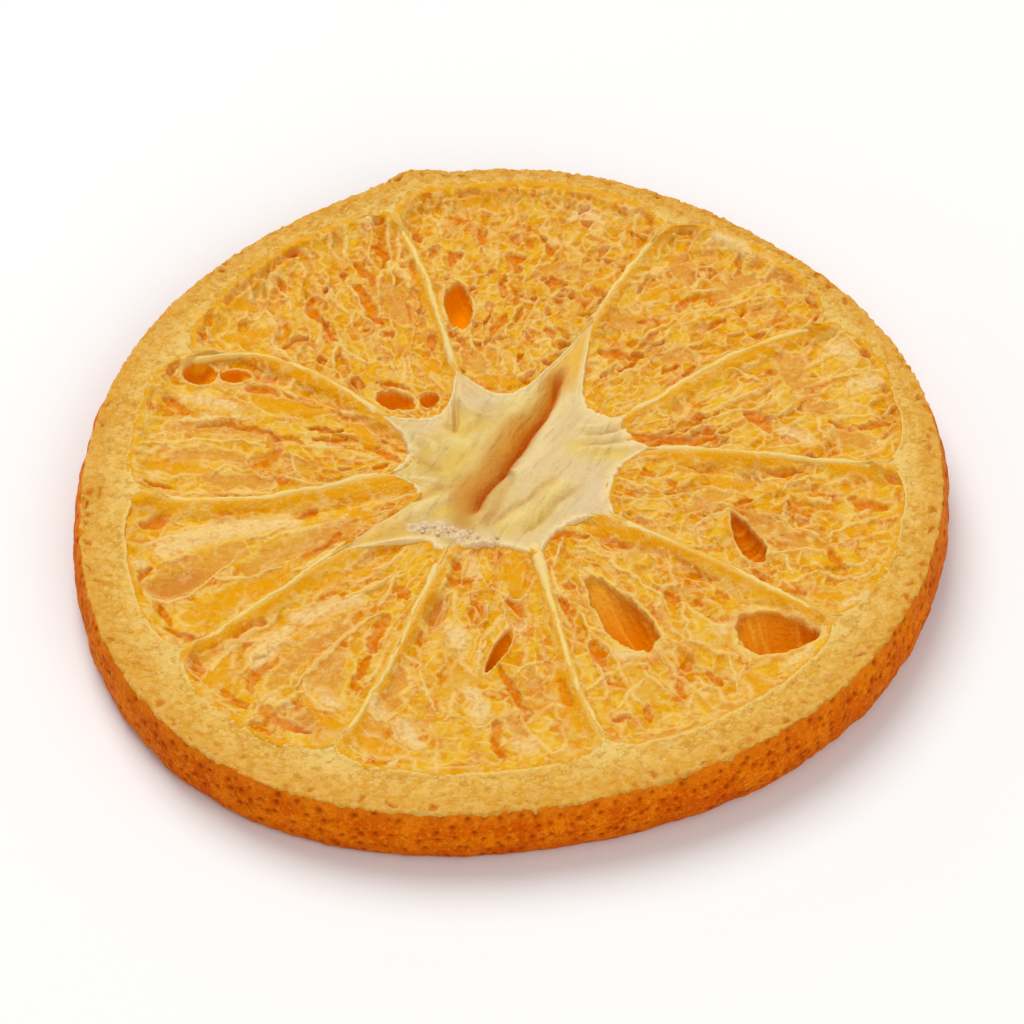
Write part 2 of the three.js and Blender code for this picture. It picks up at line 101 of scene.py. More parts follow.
# Sacs that stand out, by wedge and by look: a gap where the sac is gone, a dull film over it, frosty crumbs, a
# clear smooth wall, a whole sac as a bead, or the ridge of a fold. Each is three points along it, from the core's
# centre, and its half width.
SINGLE_SACS = {
    "back_right": {
        "gap": [
            (7.2, 3, 9, 2.45, 12.4, 2.4, 0.42), (14.3, 4.5, 15, 4.1, 15.6, 3.3, 0.5),
            (13.1, 8.6, 14.1, 9.15, 15, 9.8, 0.25), (21.9, 9.4, 22.5, 8.4, 23, 7.5, 0.26),
            (22.8, 6.8, 23.2, 6, 23.2, 5.2, 0.3), (19, 11.6, 19.9, 11.65, 20.6, 11.3, 0.2),
            (21, 3.5, 21.9, 3.6, 22.9, 3.5, 0.2), (19.3, 3.7, 19.8, 3.4, 20.4, 3.2, 0.22),
            (11.2, 4.5, 11.3, 4.2, 11.4, 3.9, 0.27), (12, 3.3, 12.1, 2.9, 12, 2.5, 0.3)],
        "film": [
            (16.3, 9.2, 17, 8.3, 17.4, 7, 0.85), (18.1, 5, 18.8, 5.1, 19.5, 5.1, 0.42),
            (19.6, 2.8, 20.6, 2.4, 21.7, 2.4, 0.55), (10, 5.7, 10.2, 5.2, 10.4, 4.7, 0.4)],
        "frost": [
            (19.3, 9.9, 20, 9.7, 20.6, 9.3, 0.6), (20.4, 6.9, 21.4, 6.9, 22.3, 6.8, 0.5),
            (16.4, 3.3, 17.2, 2.7, 18, 2.2, 0.5)],
        "ridge": [
            (19, 9.8, 19.9, 10.9, 21, 11.1, 0.16), (19.5, 7.4, 20.6, 7.8, 21.9, 7.8, 0.14),
            (18.5, 4.3, 18.6, 3.4, 19, 2.5, 0.13), (19, 4.4, 20.8, 4.25, 23, 4.2, 0.13),
            (8.8, 5.3, 9.1, 4.7, 9.7, 4.3, 0.12), (13.1, 8, 14.1, 7.9, 15.2, 7.3, 0.13)],
    },
    "back": {
        "gap": [
            (17.6, 15.3, 18.3, 14.7, 18.7, 14, 0.22), (16.5, 17, 17, 16.5, 17.5, 16.2, 0.24),
            (18.2, 13.5, 18.4, 13.2, 18.6, 13, 0.24), (14, 12.9, 14.5, 13.2, 15, 13.4, 0.24),
            (8, 12.3, 8.3, 12.2, 8.7, 12.1, 0.25), (8.1, 10.3, 8.5, 10.7, 9, 11.2, 0.22),
            (5.7, 9.8, 6.3, 9.6, 7, 9.4, 0.32), (6.6, 8.2, 7.2, 8.7, 7.6, 9.2, 0.14),
            (9.4, 8, 9.6, 8.2, 9.9, 8.5, 0.22), (10.6, 8, 10.9, 8.2, 11.3, 8.5, 0.25),
            (12.3, 11.9, 12.6, 12.1, 12.9, 12.3, 0.27), (13.8, 17.3, 13.9, 17, 14, 16.7, 0.22),
            (10.2, 13.3, 10.6, 13.7, 11.1, 14.1, 0.35)],
        "film": [
            (10.4, 17.5, 10.6, 16.6, 11, 15.7, 0.7), (16.7, 15.7, 17.3, 15.1, 18.1, 14.4, 0.75),
            (14.8, 12.8, 15.5, 13.2, 16.2, 13, 0.45), (6.3, 12.6, 7.2, 12, 8.1, 12.3, 0.65),
            (9.6, 9.3, 10.4, 9.5, 11.2, 9.3, 0.5), (12.7, 14.5, 13.5, 15, 14.7, 15.6, 0.6)],
        "frost": [
            (12.4, 18.7, 13.4, 18.3, 14.5, 17.3, 0.5)],
        "clear": [
            (8.2, 14.2, 9, 14.7, 9.7, 14.6, 0.5)],
        "ridge": [
            (12, 12.8, 13.7, 13.7, 15.9, 14.2, 0.14), (7.8, 10.6, 8.9, 11.5, 10, 12.4, 0.15),
            (9, 17.5, 9.3, 18.6, 10.2, 19.3, 0.15)],
    },
    "back_middle": {
        "gap": [
            (-1.1, 11.2, -0.7, 11.9, -0.2, 12.6, 0.3), (0.1, 17.6, 0.4, 17.3, 0.8, 17.4, 0.4),
            (-3.6, 18.1, -3.4, 17.6, -3.5, 17, 0.24), (-1.7, 19.6, -1.6, 19.1, -1.8, 18.6, 0.24),
            (1, 18.8, 1.2, 18.6, 1.3, 18.4, 0.27), (2.3, 18.5, 2.4, 18.2, 2.5, 18, 0.25),
            (-5.9, 22.8, -4.5, 23.3, -3, 23.8, 0.28), (0.8, 23.4, 1.3, 23, 1.9, 22.8, 0.36),
            (0.3, 14.8, 0.5, 14.3, 0.6, 13.8, 0.17), (-0.4, 15.4, -0.3, 14.8, -0.2, 14.2, 0.17),
            (2.6, 15.6, 3, 15.4, 3.5, 15.3, 0.22), (5, 14.9, 5.4, 14.7, 5.8, 14.6, 0.32),
            (-2.9, 10.9, -2.6, 10.4, -2.3, 9.9, 0.24), (2.2, 9, 2.5, 8.8, 2.7, 8.6, 0.22),
            (0.8, 7.6, 1, 7.4, 1.2, 7.2, 0.14), (2.1, 11.6, 2.4, 11.2, 2.6, 10.8, 0.22),
            (3, 11.8, 3.3, 11.3, 3.5, 10.9, 0.22)],
        "film": [
            (-2.6, 9.7, -2.1, 9.1, -1.7, 8.4, 0.55), (2.1, 16.4, 3.3, 16.5, 4.4, 16.2, 0.5)],
        "frost": [
            (3.6, 20.6, 4.6, 21, 5.6, 20.4, 0.45)],
        "clear": [
            (-1.7, 7.6, -0.3, 7.1, 1.4, 7.5, 0.5), (-2.6, 21.6, -1.4, 21.9, -0.4, 21.4, 0.5)],
        "ridge": [
            (-3.75, 15.3, -4.15, 13.9, -3.8, 12.2, 0.2), (-5.2, 21.2, -4.4, 20.2, -4.2, 19.1, 0.14)],
    },
    "back_left": {
        "gap": [
            (-9.2, 15.2, -8.5, 13.8, -7.7, 12.4, 0.32), (-6, 13.9, -5.8, 13.1, -5.8, 12.5, 0.2),
            (-8.1, 18.4, -7.7, 18.1, -7.3, 17.7, 0.32), (-5.9, 17.2, -5.8, 16.7, -5.6, 16.2, 0.24),
            (-7.4, 11.5, -7.2, 11.4, -7.1, 11.3, 0.34), (-4.8, 11.2, -4.7, 10.8, -4.7, 10.4, 0.32),
            (-13.4, 10.6, -12.8, 11.2, -12, 11.3, 0.16), (-10.9, 11.9, -10.6, 11.4, -10.3, 10.9, 0.2),
            (-12, 14.3, -11.8, 13.3, -11.3, 12.5, 0.24), (-18.2, 14, -18.1, 12.9, -18.3, 11.9, 0.24),
            (-13.6, 17.8, -13.1, 17.9, -12.6, 17.8, 0.32), (-12.1, 19.8, -11.2, 20.4, -10.2, 20.5, 0.24),
            (-9.2, 17, -8.8, 16.5, -8.4, 15.9, 0.32), (-5.2, 6.3, -4.9, 5.9, -4.6, 5.6, 0.32),
            (-7.8, 7.5, -7.1, 7.3, -6, 6.9, 0.18)],
        "film": [
            (-7.5, 15.4, -6.8, 14.1, -6.3, 12.8, 0.75), (-8, 10.2, -7.6, 9.8, -7.2, 9.3, 0.32),
            (-13.3, 10.7, -12.6, 11, -11.9, 10.9, 0.45), (-15, 14.2, -14.4, 14.1, -13.4, 14.1, 0.34)],
        "frost": [
            (-9.8, 20.6, -9, 20.6, -8.4, 20.3, 0.24)],
        "clear": [
            (-6, 18.3, -5.4, 15.5, -4.6, 12.6, 0.35), (-17, 14, -16.1, 13.8, -15.3, 13.7, 0.4),
            (-16.9, 11.2, -15.6, 11.4, -14.3, 11.9, 0.6), (-5.2, 9.3, -4.7, 8.9, -4.3, 8.4, 0.5)],
        "ridge": [
            (-9.9, 15.9, -9.1, 14.1, -8.1, 12.1, 0.14), (-9.9, 10.1, -9.1, 9.5, -8.6, 9, 0.15),
            (-11, 16.4, -10.6, 14.6, -9.6, 13, 0.16), (-14.6, 16.3, -13.6, 15, -13.2, 13.4, 0.15)],
    },
    "left": {
        "gap": [
            (-18.5, 4.1, -16, 3.9, -14, 3.1, 0.18), (-20.5, 6, -20, 5.6, -19.2, 5, 0.3),
            (-15.3, 0.9, -14.6, 1.3, -13.8, 1.8, 0.48), (-14, -0.4, -13.6, -0.5, -13.3, -0.6, 0.32),
            (-21.6, -0.7, -21, -0.9, -20.3, -1, 0.18), (-7.8, 2.2, -7.3, 1.7, -6.6, 1.2, 0.36),
            (-8, 0.5, -7.7, 0.6, -7.4, 0.6, 0.24), (-13.9, 3, -13.1, 3, -12.4, 2.6, 0.2),
            (-11.8, 3.7, -10.8, 3.6, -10, 3.8, 0.16), (-11.7, 3, -10.6, 2.9, -9.9, 3.1, 0.16),
            (-12.4, 6.3, -12, 6, -11.7, 5.8, 0.3), (-15.5, 7, -14.7, 6.9, -14, 6.6, 0.34)],
        "film": [
            (-20.5, 3.8, -17.5, 3.8, -13.8, 2.9, 0.42), (-20, 1.6, -17.6, 1.6, -15.8, 1, 0.5),
            (-17.9, -0.3, -16.1, -0.6, -14.4, -0.7, 0.5)],
        "frost": [
            (-20.3, 4.4, -18, 4.6, -16.4, 4.6, 0.16), (-11.9, 2.4, -10.9, 2.4, -10.1, 2.5, 0.22),
            (-19.7, 6.3, -18, 6, -16.4, 5.5, 0.38)],
        "clear": [
            (-20.3, 9.5, -19, 10, -17.6, 9.9, 0.3), (-21.8, 0.5, -20, 0.6, -18.3, 0.2, 0.48),
            (-9.1, 3.8, -8.7, 3.2, -8.2, 2.6, 0.6), (-15, 6, -13.2, 5.4, -11, 5.4, 0.75)],
        "ridge": [
            (-20.1, 8.1, -19.4, 9.2, -17.9, 9.6, 0.13), (-22, 2.2, -18.2, 2.7, -14.6, 2.3, 0.16),
            (-17.6, -0.1, -16.8, 0.5, -15.7, 0.2, 0.12), (-13, 1.6, -12.7, 0.9, -12.8, 0.2, 0.12)],
    },
    "front_left": {
        "gap": [
            (-18.4, -2.8, -16.8, -2.9, -14.4, -2.7, 0.38), (-12.6, -3.3, -12, -3.2, -11.4, -2.9, 0.3),
            (-20.1, -3, -20.8, -3.6, -21.7, -4.1, 0.34), (-21.4, -7.6, -21.8, -8.3, -21.7, -9.1, 0.22),
            (-20.3, -12.6, -19.4, -12.9, -18.6, -13, 0.22), (-20.7, -10.8, -20.2, -11.6, -20, -12.3, 0.2),
            (-10, -4.8, -10.8, -5.7, -12.1, -6.8, 0.24)],
        "film": [
            (-20.9, -9.1, -19.8, -8.5, -16.2, -6.3, 1.15), (-15.4, -7.8, -13.5, -6.4, -9.4, -4.2, 0.85)],
        "frost": [
            (-20.6, -6.3, -18, -4.9, -12.9, -3.9, 0.85), (-22.2, -7.4, -22, -7.3, -21.8, -7.2, 0.35)],
        "clear": [
            (-22.6, -2.7, -16, -2.1, -8.5, -1.8, 0.42), (-19, -11.6, -15.5, -9.5, -12.3, -8.1, 0.8),
            (-9.3, -3.2, -8.7, -3.5, -8.1, -3.6, 0.4)],
        "ridge": [
            (-20.8, -6.3, -20.2, -6.9, -19.3, -6.6, 0.22), (-15.6, -5.4, -14.6, -5, -13.3, -4.4, 0.13),
            (-21.6, -9.9, -20.3, -10.4, -18.8, -9.6, 0.18), (-18.8, -9.6, -17.8, -8.5, -16.3, -6.9, 0.14),
            (-17.5, -8.4, -16.2, -8.5, -13.6, -7.7, 0.15), (-9.8, -5.4, -11, -6.7, -12.6, -8, 0.17)],
    },
    "front_left_middle": {
        "gap": [
            (-14.6, -11.8, -16.5, -12.9, -18.1, -14.3, 0.34),
            (-14.1, -15.1, -14.9, -16.2, -15.2, -17.2, 0.32),
            (-16.9, -17.4, -16.3, -18.1, -15.6, -18.7, 0.32), (-7.3, -11.7, -7.8, -12.9, -8.1, -14.3, 0.42),
            (-8.2, -14.9, -8.8, -15.9, -9.2, -17, 0.3), (-14.8, -18.7, -13.6, -19.7, -11.8, -20.6, 0.48),
            (-6.5, -9.4, -6.2, -9.7, -6, -10, 0.3)],
        "film": [
            (-9.7, -12.3, -12, -14.1, -13.9, -17, 0.55), (-10.2, -14.6, -10.7, -16.3, -10.5, -17.8, 0.95)],
        "frost": [
            (-9, -10.3, -11, -11, -12.6, -11.4, 0.7), (-13, -12.4, -14.3, -14, -14.9, -15.1, 0.6),
            (-14.3, -17.8, -13.7, -18.3, -12.8, -18.4, 0.3), (-10.9, -17.4, -10.6, -18.2, -10, -18.6, 0.45)],
        "clear": [
            (-8.2, -7.9, -12.3, -9.3, -14.8, -11.6, 0.42), (-8.5, -10.4, -10.5, -11.6, -12.5, -13.2, 0.4),
            (-16.7, -14.9, -17.1, -16.3, -16.7, -17.6, 0.65), (-11.9, -18, -11, -19.5, -9.8, -20, 0.3)],
        "ridge": [
            (-13.7, -11.5, -16.2, -13.6, -17.5, -15.7, 0.26), (-6.3, -8.4, -7.8, -9.1, -9.7, -9.9, 0.26),
            (-7.6, -11.4, -10.2, -13.6, -12.5, -17.2, 0.2), (-11.9, -16.9, -11.3, -18.5, -10.2, -19.1, 0.2),
            (-15, -20, -14.9, -18.9, -14.3, -17.9, 0.13)],
    },
    "front": {
        "gap": [
            (-3.4, -7.1, -3.2, -7.3, -3, -7.4, 0.36), (-3.4, -8.5, -3.2, -8.7, -3, -8.8, 0.36),
            (-0.4, -15.4, 0.1, -16.9, 0.9, -18.9, 0.26), (-5.3, -13.7, -5.3, -13.3, -5.1, -12.9, 0.22),
            (-7.6, -16.1, -7.6, -16.7, -7.8, -17.2, 0.24), (-0.6, -19.9, -0.7, -21.4, -0.4, -22.6, 0.24),
            (3, -16.5, 3.3, -17.5, 3.6, -18.4, 0.24)],
        "film": [
            (-6.4, -15.9, -6.8, -17.5, -7, -18.6, 0.55), (0.2, -19.8, 0.6, -20.4, 0.9, -21, 0.45),
            (1.3, -15.8, 1.6, -16.7, 1.7, -17.6, 0.4)],
        "frost": [
            (-2.3, -6.6, -2.1, -7.6, -1.8, -8.6, 0.35), (-3.6, -12.3, -3, -13.3, -2.8, -14.1, 0.6),
            (0.1, -12.1, 0.5, -12.4, 1, -12, 0.2), (-8, -18.1, -7.7, -18.9, -7, -19.2, 0.55),
            (-6.3, -19.9, -5.9, -20.7, -5.3, -21.5, 0.6), (-2.4, -17.3, -1.8, -18.5, -1.5, -19.5, 0.6),
            (0.5, -21.4, 1, -21.8, 1.5, -21.5, 0.5)],
        "clear": [
            (0.3, -6.9, 0.4, -8.2, 0.6, -9.6, 1.05), (-9, -20.8, -8, -21.5, -6.4, -22.2, 0.65),
            (3, -15.9, 3.6, -17.9, 4.6, -20.6, 0.5)],
        "ridge": [
            (-1, -9.2, 0.2, -10.3, 1.2, -9.9, 0.13), (-4.1, -13.5, -3.2, -14.2, -2.4, -14.1, 0.13),
            (-1.3, -13.6, -1.7, -14.6, -1.9, -15.4, 0.14), (-8.4, -18.6, -7.7, -19.6, -6.6, -19.2, 0.13),
            (-6.8, -20.3, -6.3, -21.4, -5.1, -21.9, 0.13), (-2.5, -19.4, -1.6, -20.2, -0.6, -19.6, 0.15),
            (-3.9, -19.9, -3.2, -19.4, -2.6, -19.5, 0.13), (0.5, -16, 1.2, -15.3, 2.3, -15, 0.15),
            (-5.3, -15.6, -4.8, -17.4, -4.3, -19, 0.13)],
    },
    "front_right": {
        "gap": [
            (2.1, -5.4, 3, -5.2, 4.6, -5.6, 0.28), (9.2, -10.2, 9.7, -10.5, 10.3, -10.5, 0.27),
            (12.4, -9.7, 12.7, -9.9, 13, -10.2, 0.27), (5, -13.7, 5.3, -14.6, 5.6, -15.4, 0.3),
            (6.1, -19.6, 6.5, -19.6, 7, -19.7, 0.22), (8.2, -18.8, 8.3, -19.4, 8.3, -20, 0.2),
            (10, -16.8, 10.2, -17.5, 10.3, -18.1, 0.2), (11.8, -16.2, 12.2, -16.8, 12.5, -17.2, 0.17),
            (3.1, -10.4, 3.3, -10.8, 3.4, -11.2, 0.22)],
        "film": [
            (7.3, -6.6, 7.4, -6.9, 7.5, -7.2, 0.85), (12.5, -19, 13.2, -19.3, 13.8, -19.2, 0.4),
            (7.5, -21.2, 9.2, -21.3, 11, -20.6, 0.3)],
        "frost": [
            (6.4, -14.5, 7.3, -14.9, 8.3, -14.6, 0.28), (12.3, -12.5, 12.6, -12.9, 12.8, -13.2, 0.4),
            (17.7, -14.4, 17.4, -15, 16.7, -15.6, 0.36)],
        "clear": [
            (5, -4.9, 9.5, -6.3, 14.5, -9.4, 0.48), (14.5, -9.4, 16.8, -10.6, 18.7, -12.4, 0.5),
            (14.2, -16.6, 14.9, -17.5, 14.7, -18.5, 0.6)],
        "bead": [
            (7.6, -6.8, 7.9, -7.3, 8.2, -7.8, 0.7)],
        "ridge": [
            (3.2, -5.7, 2.9, -6.7, 2.7, -7.8, 0.13), (4.2, -6.3, 6.8, -8, 9.4, -11.2, 0.15),
            (4.7, -17.3, 5.6, -16.3, 6.4, -15.8, 0.15), (6.2, -18.9, 7, -17.9, 7.9, -16.8, 0.15),
            (10.9, -16.3, 11.4, -17, 12, -17.8, 0.13), (12.9, -15.1, 13.2, -16.5, 13.5, -17.8, 0.13)],
    },
    "right": {
        "gap": [
            (15.4, -0.1, 16.5, -0.2, 17.7, -0.1, 0.17), (22.6, -0.8, 23.1, -1.1, 23.4, -1.5, 0.32),
            (8.1, 0.1, 8.3, -0.2, 8.6, -0.6, 0.24), (9.5, -1.2, 9.8, -1.5, 9.9, -1.8, 0.24),
            (13.5, -2.9, 14, -2.7, 14.4, -2.6, 0.18), (16.8, -2.6, 17.3, -3.2, 17.8, -3.7, 0.22),
            (20.6, -2.3, 21.4, -2.9, 22.4, -3.3, 0.32), (19.2, -6.8, 19.5, -7.3, 19.7, -7.7, 0.25)],
        "film": [
            (14.6, -4, 16, -5, 17.6, -6.1, 0.7), (10.6, -3.4, 11.8, -2.7, 12.9, -2.2, 0.5)],
        "frost": [
            (19.9, -11.3, 20.5, -11, 21.2, -10.5, 0.34)],
        "clear": [
            (10, 1, 14.5, 0.8, 18.6, 0.8, 0.5), (11.3, -0.8, 13, -1.2, 14.6, -1, 0.4),
            (19.5, -5.4, 20.5, -5.1, 21.4, -4.6, 0.28), (18.2, -10.2, 19.2, -10.4, 20.3, -10.6, 0.35)],
        "bead": [
            (12.9, -4.3, 12.7, -5, 12.6, -5.7, 0.75)],
        "ridge": [
            (14.8, -0.1, 15.6, -0.6, 16.6, -0.6, 0.13), (16.3, -1.7, 17, -0.9, 18.8, -0.6, 0.13),
            (11.1, -4.9, 12, -4.1, 13.1, -3.4, 0.14), (15.2, -3.3, 17, -4.4, 18.5, -5.5, 0.14),
            (19, -5.4, 20.4, -4.5, 22, -4, 0.15), (16.8, -9.3, 17.6, -8.9, 18.4, -8.2, 0.14),
            (18.4, -8.2, 19.6, -8.8, 22, -8.6, 0.14), (16.3, -7, 16.6, -7.8, 16.9, -8.6, 0.13)],
    },
}

# How the juice sacs lie in each wedge, from the one at the right round to the left and the front: name, sac
# length and width, how far they spread like a fan, their slant in degrees, size of the small cells, strength of
# the walls and of the long folds, share under film and share of small holes.
SAC_STYLES = [
    ("back_right", 3.0, 1.0, 0.5, 14, 0.50, 0.90, 0.06, 0.30, 0.05),
    ("back", 1.9, 1.2, 0.3, -8, 0.48, 0.85, 0.04, 0.40, 0.06),
    ("back_middle", 1.25, 0.95, 0.1, 0, 0.42, 1.0, 0.02, 0.12, 0.14),
    ("back_left", 3.0, 0.9, 0.3, -30, 0.46, 0.95, 0.05, 0.20, 0.08),
    ("left", 5.0, 1.3, 0.5, 0, 0.50, 0.65, 0.06, 0.35, 0.05),
    ("front_left", 9.0, 1.8, 0.8, 0, 0.60, 0.45, 0.05, 0.45, 0.01),
    ("front_left_middle", 7.0, 1.6, 0.8, 0, 0.55, 0.55, 0.06, 0.45, 0.02),
    ("front", 3.0, 1.3, 0.6, 0, 0.60, 0.70, 0.06, 0.55, 0.03),
    ("front_right", 3.4, 1.2, 0.5, 0, 0.54, 0.75, 0.06, 0.35, 0.04),
    ("right", 2.3, 1.4, 0.3, 15, 0.55, 1.0, 0.03, 0.30, 0.03),
]

# Half width of a membrane in millimetres at a share of its height: thin at its crest, flared at the pulp.
MEMBRANE_SECTION = [(0.0, 0.0), (0.1, 0.02), (0.16, 0.12), (0.24, 0.45), (0.4, 0.7), (0.32, 0.76), (0.24, 0.83),
                    (0.22, 0.88), (0.21, 0.92), (0.18, 0.955), (0.11, 0.985), (0.0, 1.0)]
ROOT = 1.6  # how far a membrane reaches into the pith
FRONT_MEMBRANE, FRONT_ROOT = 8, 4.2
INTO_RIND = 0.7

# Ridges and creases of the dried pith: three points from the core's centre, half width and height (below 0 for a
# crease), all in millimetres.
PITH_FOLDS = [
    ((4.2, 9.2), (-0.3, 3.7), (-2.6, -2.8), 0.75, 0.34),
    ((3.9, 6.4), (1.7, 1.7), (-0.5, -3.8), 0.55, 0.3),
    ((4.0, -0.8), (1.7, -2.9), (-0.5, -5.0), 0.42, 0.3),
    ((9.0, 4.9), (6.2, 3.7), (3.9, 3.3), 0.3, 0.3),
    ((9.0, 1.6), (6.4, 1.8), (3.6, 1.3), 0.32, 0.3),
    ((7.0, 2.9), (5.4, 2.7), (3.6, 2.3), 0.22, 0.22),
    ((5.0, 11.2), (1.6, 5.3), (-1.4, 3.6), 0.32, 0.2),
    ((-8.8, -0.8), (-6.0, -0.4), (-3.6, -0.6), 0.36, 0.3),
    ((-9.4, -6.6), (-5.6, -3.0), (-3.0, -1.6), 0.5, 0.36),
    ((-7.6, 4.5), (-5.6, 3.0), (-3.6, 1.9), 0.36, 0.26),
    ((-3.1, 7.4), (-3.5, 5.2), (-3.6, 3.4), 0.2, 0.28),
    ((-2.9, 7.0), (-2.3, 5.4), (-0.6, 4.6), 0.2, 0.22),
    ((-4.4, 2.6), (-3.0, 2.5), (-1.8, 2.2), 0.7, 0.26),
    ((-3.0, 6.2), (-3.1, 4.6), (-3.4, 3.2), 0.16, -0.34),
    ((-6.2, 1.9), (-5.0, 0.9), (-3.6, 0.5), 0.2, -0.32),
    ((-3.2, -0.9), (-5.6, -2.0), (-8.2, -4.8), 0.22, -0.3),
    ((4.6, -1.4), (2.2, -3.6), (0.5, -5.4), 0.2, -0.3),
    ((3.3, -0.5), (1.0, -2.5), (-0.9, -4.6), 0.2, -0.26),
    ((8.0, 4.0), (6.2, 3.1), (4.4, 2.8), 0.16, -0.25),
    ((8.0, 2.5), (6.2, 2.3), (4.2, 1.8), 0.16, -0.25),
    ((-1.2, 6.0), (-1.6, 4.6), (-2.6, 3.3), 0.22, -0.2),
]

# Patches of colour on the pith, by mark: three points and half width. The brownish ones lie mostly at the lower
# end of the tear and along creases, and are painted shade.
PITH_PATCHES_AND_SHADE = {
    "yellow": [
        ((-3.3, 4.2), (-2.7, 2.6), (-3, 0.6), 1.05), ((2.2, 7.4), (0.5, 4.4), (-1, 2), 0.7),
        ((4, 1.7), (5.2, 1.5), (6.6, 1.2), 0.7), ((2.9, -1.6), (1.6, -3.2), (0, -4.6), 0.7),
        ((-5, -1.6), (-6.6, -3.4), (-8.6, -5), 0.8), ((-3.2, -1), (-3.6, -2.4), (-4, -3.8), 0.8)],
    "grey": [
        ((-0.8, 6), (-2, 6), (-2.9, 6.8), 0.8), ((-6.6, 3.8), (-5.6, 3.9), (-4.6, 4), 0.6),
        ((5.4, -0.8), (5, -2.2), (4.6, -3.6), 1.2), ((0.6, -0.6), (1.5, 1.5), (2.6, 3.8), 0.7),
        ((-5.6, -4.4), (-4.6, -4.6), (-3.2, -4.9), 0.6)],
    # Painted shade: brownish patches at the lower end of the tear and along creases.
    "tan": [
        ((-2.2, -0.6), (-2.7, -2.6), (-2.8, -4.2), 0.8), ((0.2, -1), (-0.4, -2.5), (-1.2, -4), 0.55),
        ((-6.2, -3.6), (-7.4, -4.6), (-9, -5.8), 0.5), ((-3.5, 6.6), (-3.4, 5.2), (-3.7, 3.8), 0.3)],
    "orange": [
        ((2.9, 6.9), (3.6, 8.5), (5, 11), 0.8), ((-6.8, -3.9), (-8.2, -5), (-9.6, -6.3), 0.5)],
}

# Where the crumbs lie, along the core's front edge.
CRUMB_LINE = ((-5.6, -4.5), (-4.0, -4.9), (-1.0, -5.9))
CRUMBS = 34

# Steps of the grids: along and across a wedge of pulp, out and round the core and the white of the rind, along a
# membrane, and round the peel and its section. An underside has one step for every COARSER steps above it.
COARSER = 3
PULP_STEPS, CORE_STEPS, RIND_STEPS = (288, 186), (96, 900), (45, 1680)
MEMBRANE_STEPS, PEEL_STEPS = 320, 1500
PEEL_WALL, PEEL_OVER, PEEL_DOWN, PEEL_BACK = 44, 9, 4, 6
UNDER_CORE, UNDER_RIND = 0.45, 0.35  # how far the pulp runs on under them
CRUMPLE_BEARING, CRUMPLE_SPREAD = 322, 20


# ---------------------------------------------------------------- patterns in the plane

NEIGHBOURS = np.array([(a, b) for a in (-1, 0, 1) for b in (-1, 0, 1)])


def bell(x):
    """Gaussian bump: e to the minus x squared."""
    return np.exp(-np.square(x))


def ease(x, low, high):
    """Smooth step from 0 at low to 1 at high: 3t^2 - 2t^3."""
    t = np.clip((x - low) / (high - low), 0, 1)
    return t * t * (3 - 2 * t)


def turned(angle):
    """The angle brought into -pi..pi."""
    return np.arctan2(np.sin(angle), np.cos(angle))


def scatter(i, j, seed):
    """A repeatable random number in 0..1 for each pair of whole numbers, by mixing their bits."""
    i, j = np.asarray(i).astype(np.int64), np.asarray(j).astype(np.int64)
    h = (i * 374761393 + j * 668265263 + seed * 974634777) & 0xFFFFFFFF
    h = ((h ^ (h >> 13)) * 1274126177) & 0xFFFFFFFF
    h = ((h ^ (h >> 16)) * 1103515245) & 0xFFFFFFFF
    return ((h ^ (h >> 15)) & 0xFFFFFF) / float(0x1000000)


def ripple(x, y, seed):
    """Value noise in -1..1: random heights on a unit lattice, joined by 6t^5 - 15t^4 + 10t^3."""
    i, j = np.floor(x), np.floor(y)
    a, b = x - i, y - j
    a = a * a * a * (a * (a * 6 - 15) + 10)
    b = b * b * b * (b * (b * 6 - 15) + 10)
    low = scatter(i, j, seed) * (1 - a) + scatter(i + 1, j, seed) * a
    high = scatter(i, j + 1, seed) * (1 - a) + scatter(i + 1, j + 1, seed) * a
    return 2 * (low * (1 - b) + high * b) - 1


def rough(x, y, seed, layers=3):
    """Layers of ripples in about -1..1, each half the size and half the height of the one before."""
    total = sum(ripple(x * 2 ** k, y * 2 ** k, seed + 31 * k) / 2 ** k for k in range(layers))
    return total / (2 - 2.0 ** (1 - layers))


def creased(x, y, seed, layers=3):
    """Sharp folds: 1 where a rough noise crosses zero, less twice its size elsewhere."""
    return 1 - 2 * np.abs(rough(x, y, seed, layers))


def cells(x, y, length, width, seed, jitter=0.9):
    """Cells of given length and width round jittered lattice points.

    Returns the true distance to the nearest wall, a random number for that wall and one for the cell. The wall
    lies where the two nearest points are equally far, and its distance is the difference of the squared
    distances over the slope of that difference.
    """
    shape = np.shape(x)
    px, py = np.ravel(x) / length, np.ravel(y) / width
    ci = np.floor(px)[None] + NEIGHBOURS[:, :1]
    cj = np.floor(py)[None] + NEIGHBOURS[:, 1:]
    sx = ci + 0.5 + jitter * (scatter(ci, cj, seed) - 0.5)
    sy = cj + 0.5 + jitter * (scatter(ci, cj, seed + 1) - 0.5)
    far = (px - sx) ** 2 + (py - sy) ** 2
    order = np.argsort(far, axis=0)[:2]
    take = lambda v: np.take_along_axis(v, order, axis=0)
    (f1, f2), (x1, x2), (y1, y2) = take(far), take(sx), take(sy)
    t1, t2 = take(scatter(ci, cj, seed + 2))
    slope = 2 * np.hypot((x1 - x2) / length, (y1 - y2) / width)
    wall = (f2 - f1) / np.maximum(slope, 1e-6)
    return wall.reshape(shape), np.mod(7.3 * (t1 + t2), 1).reshape(shape), t1.reshape(shape)


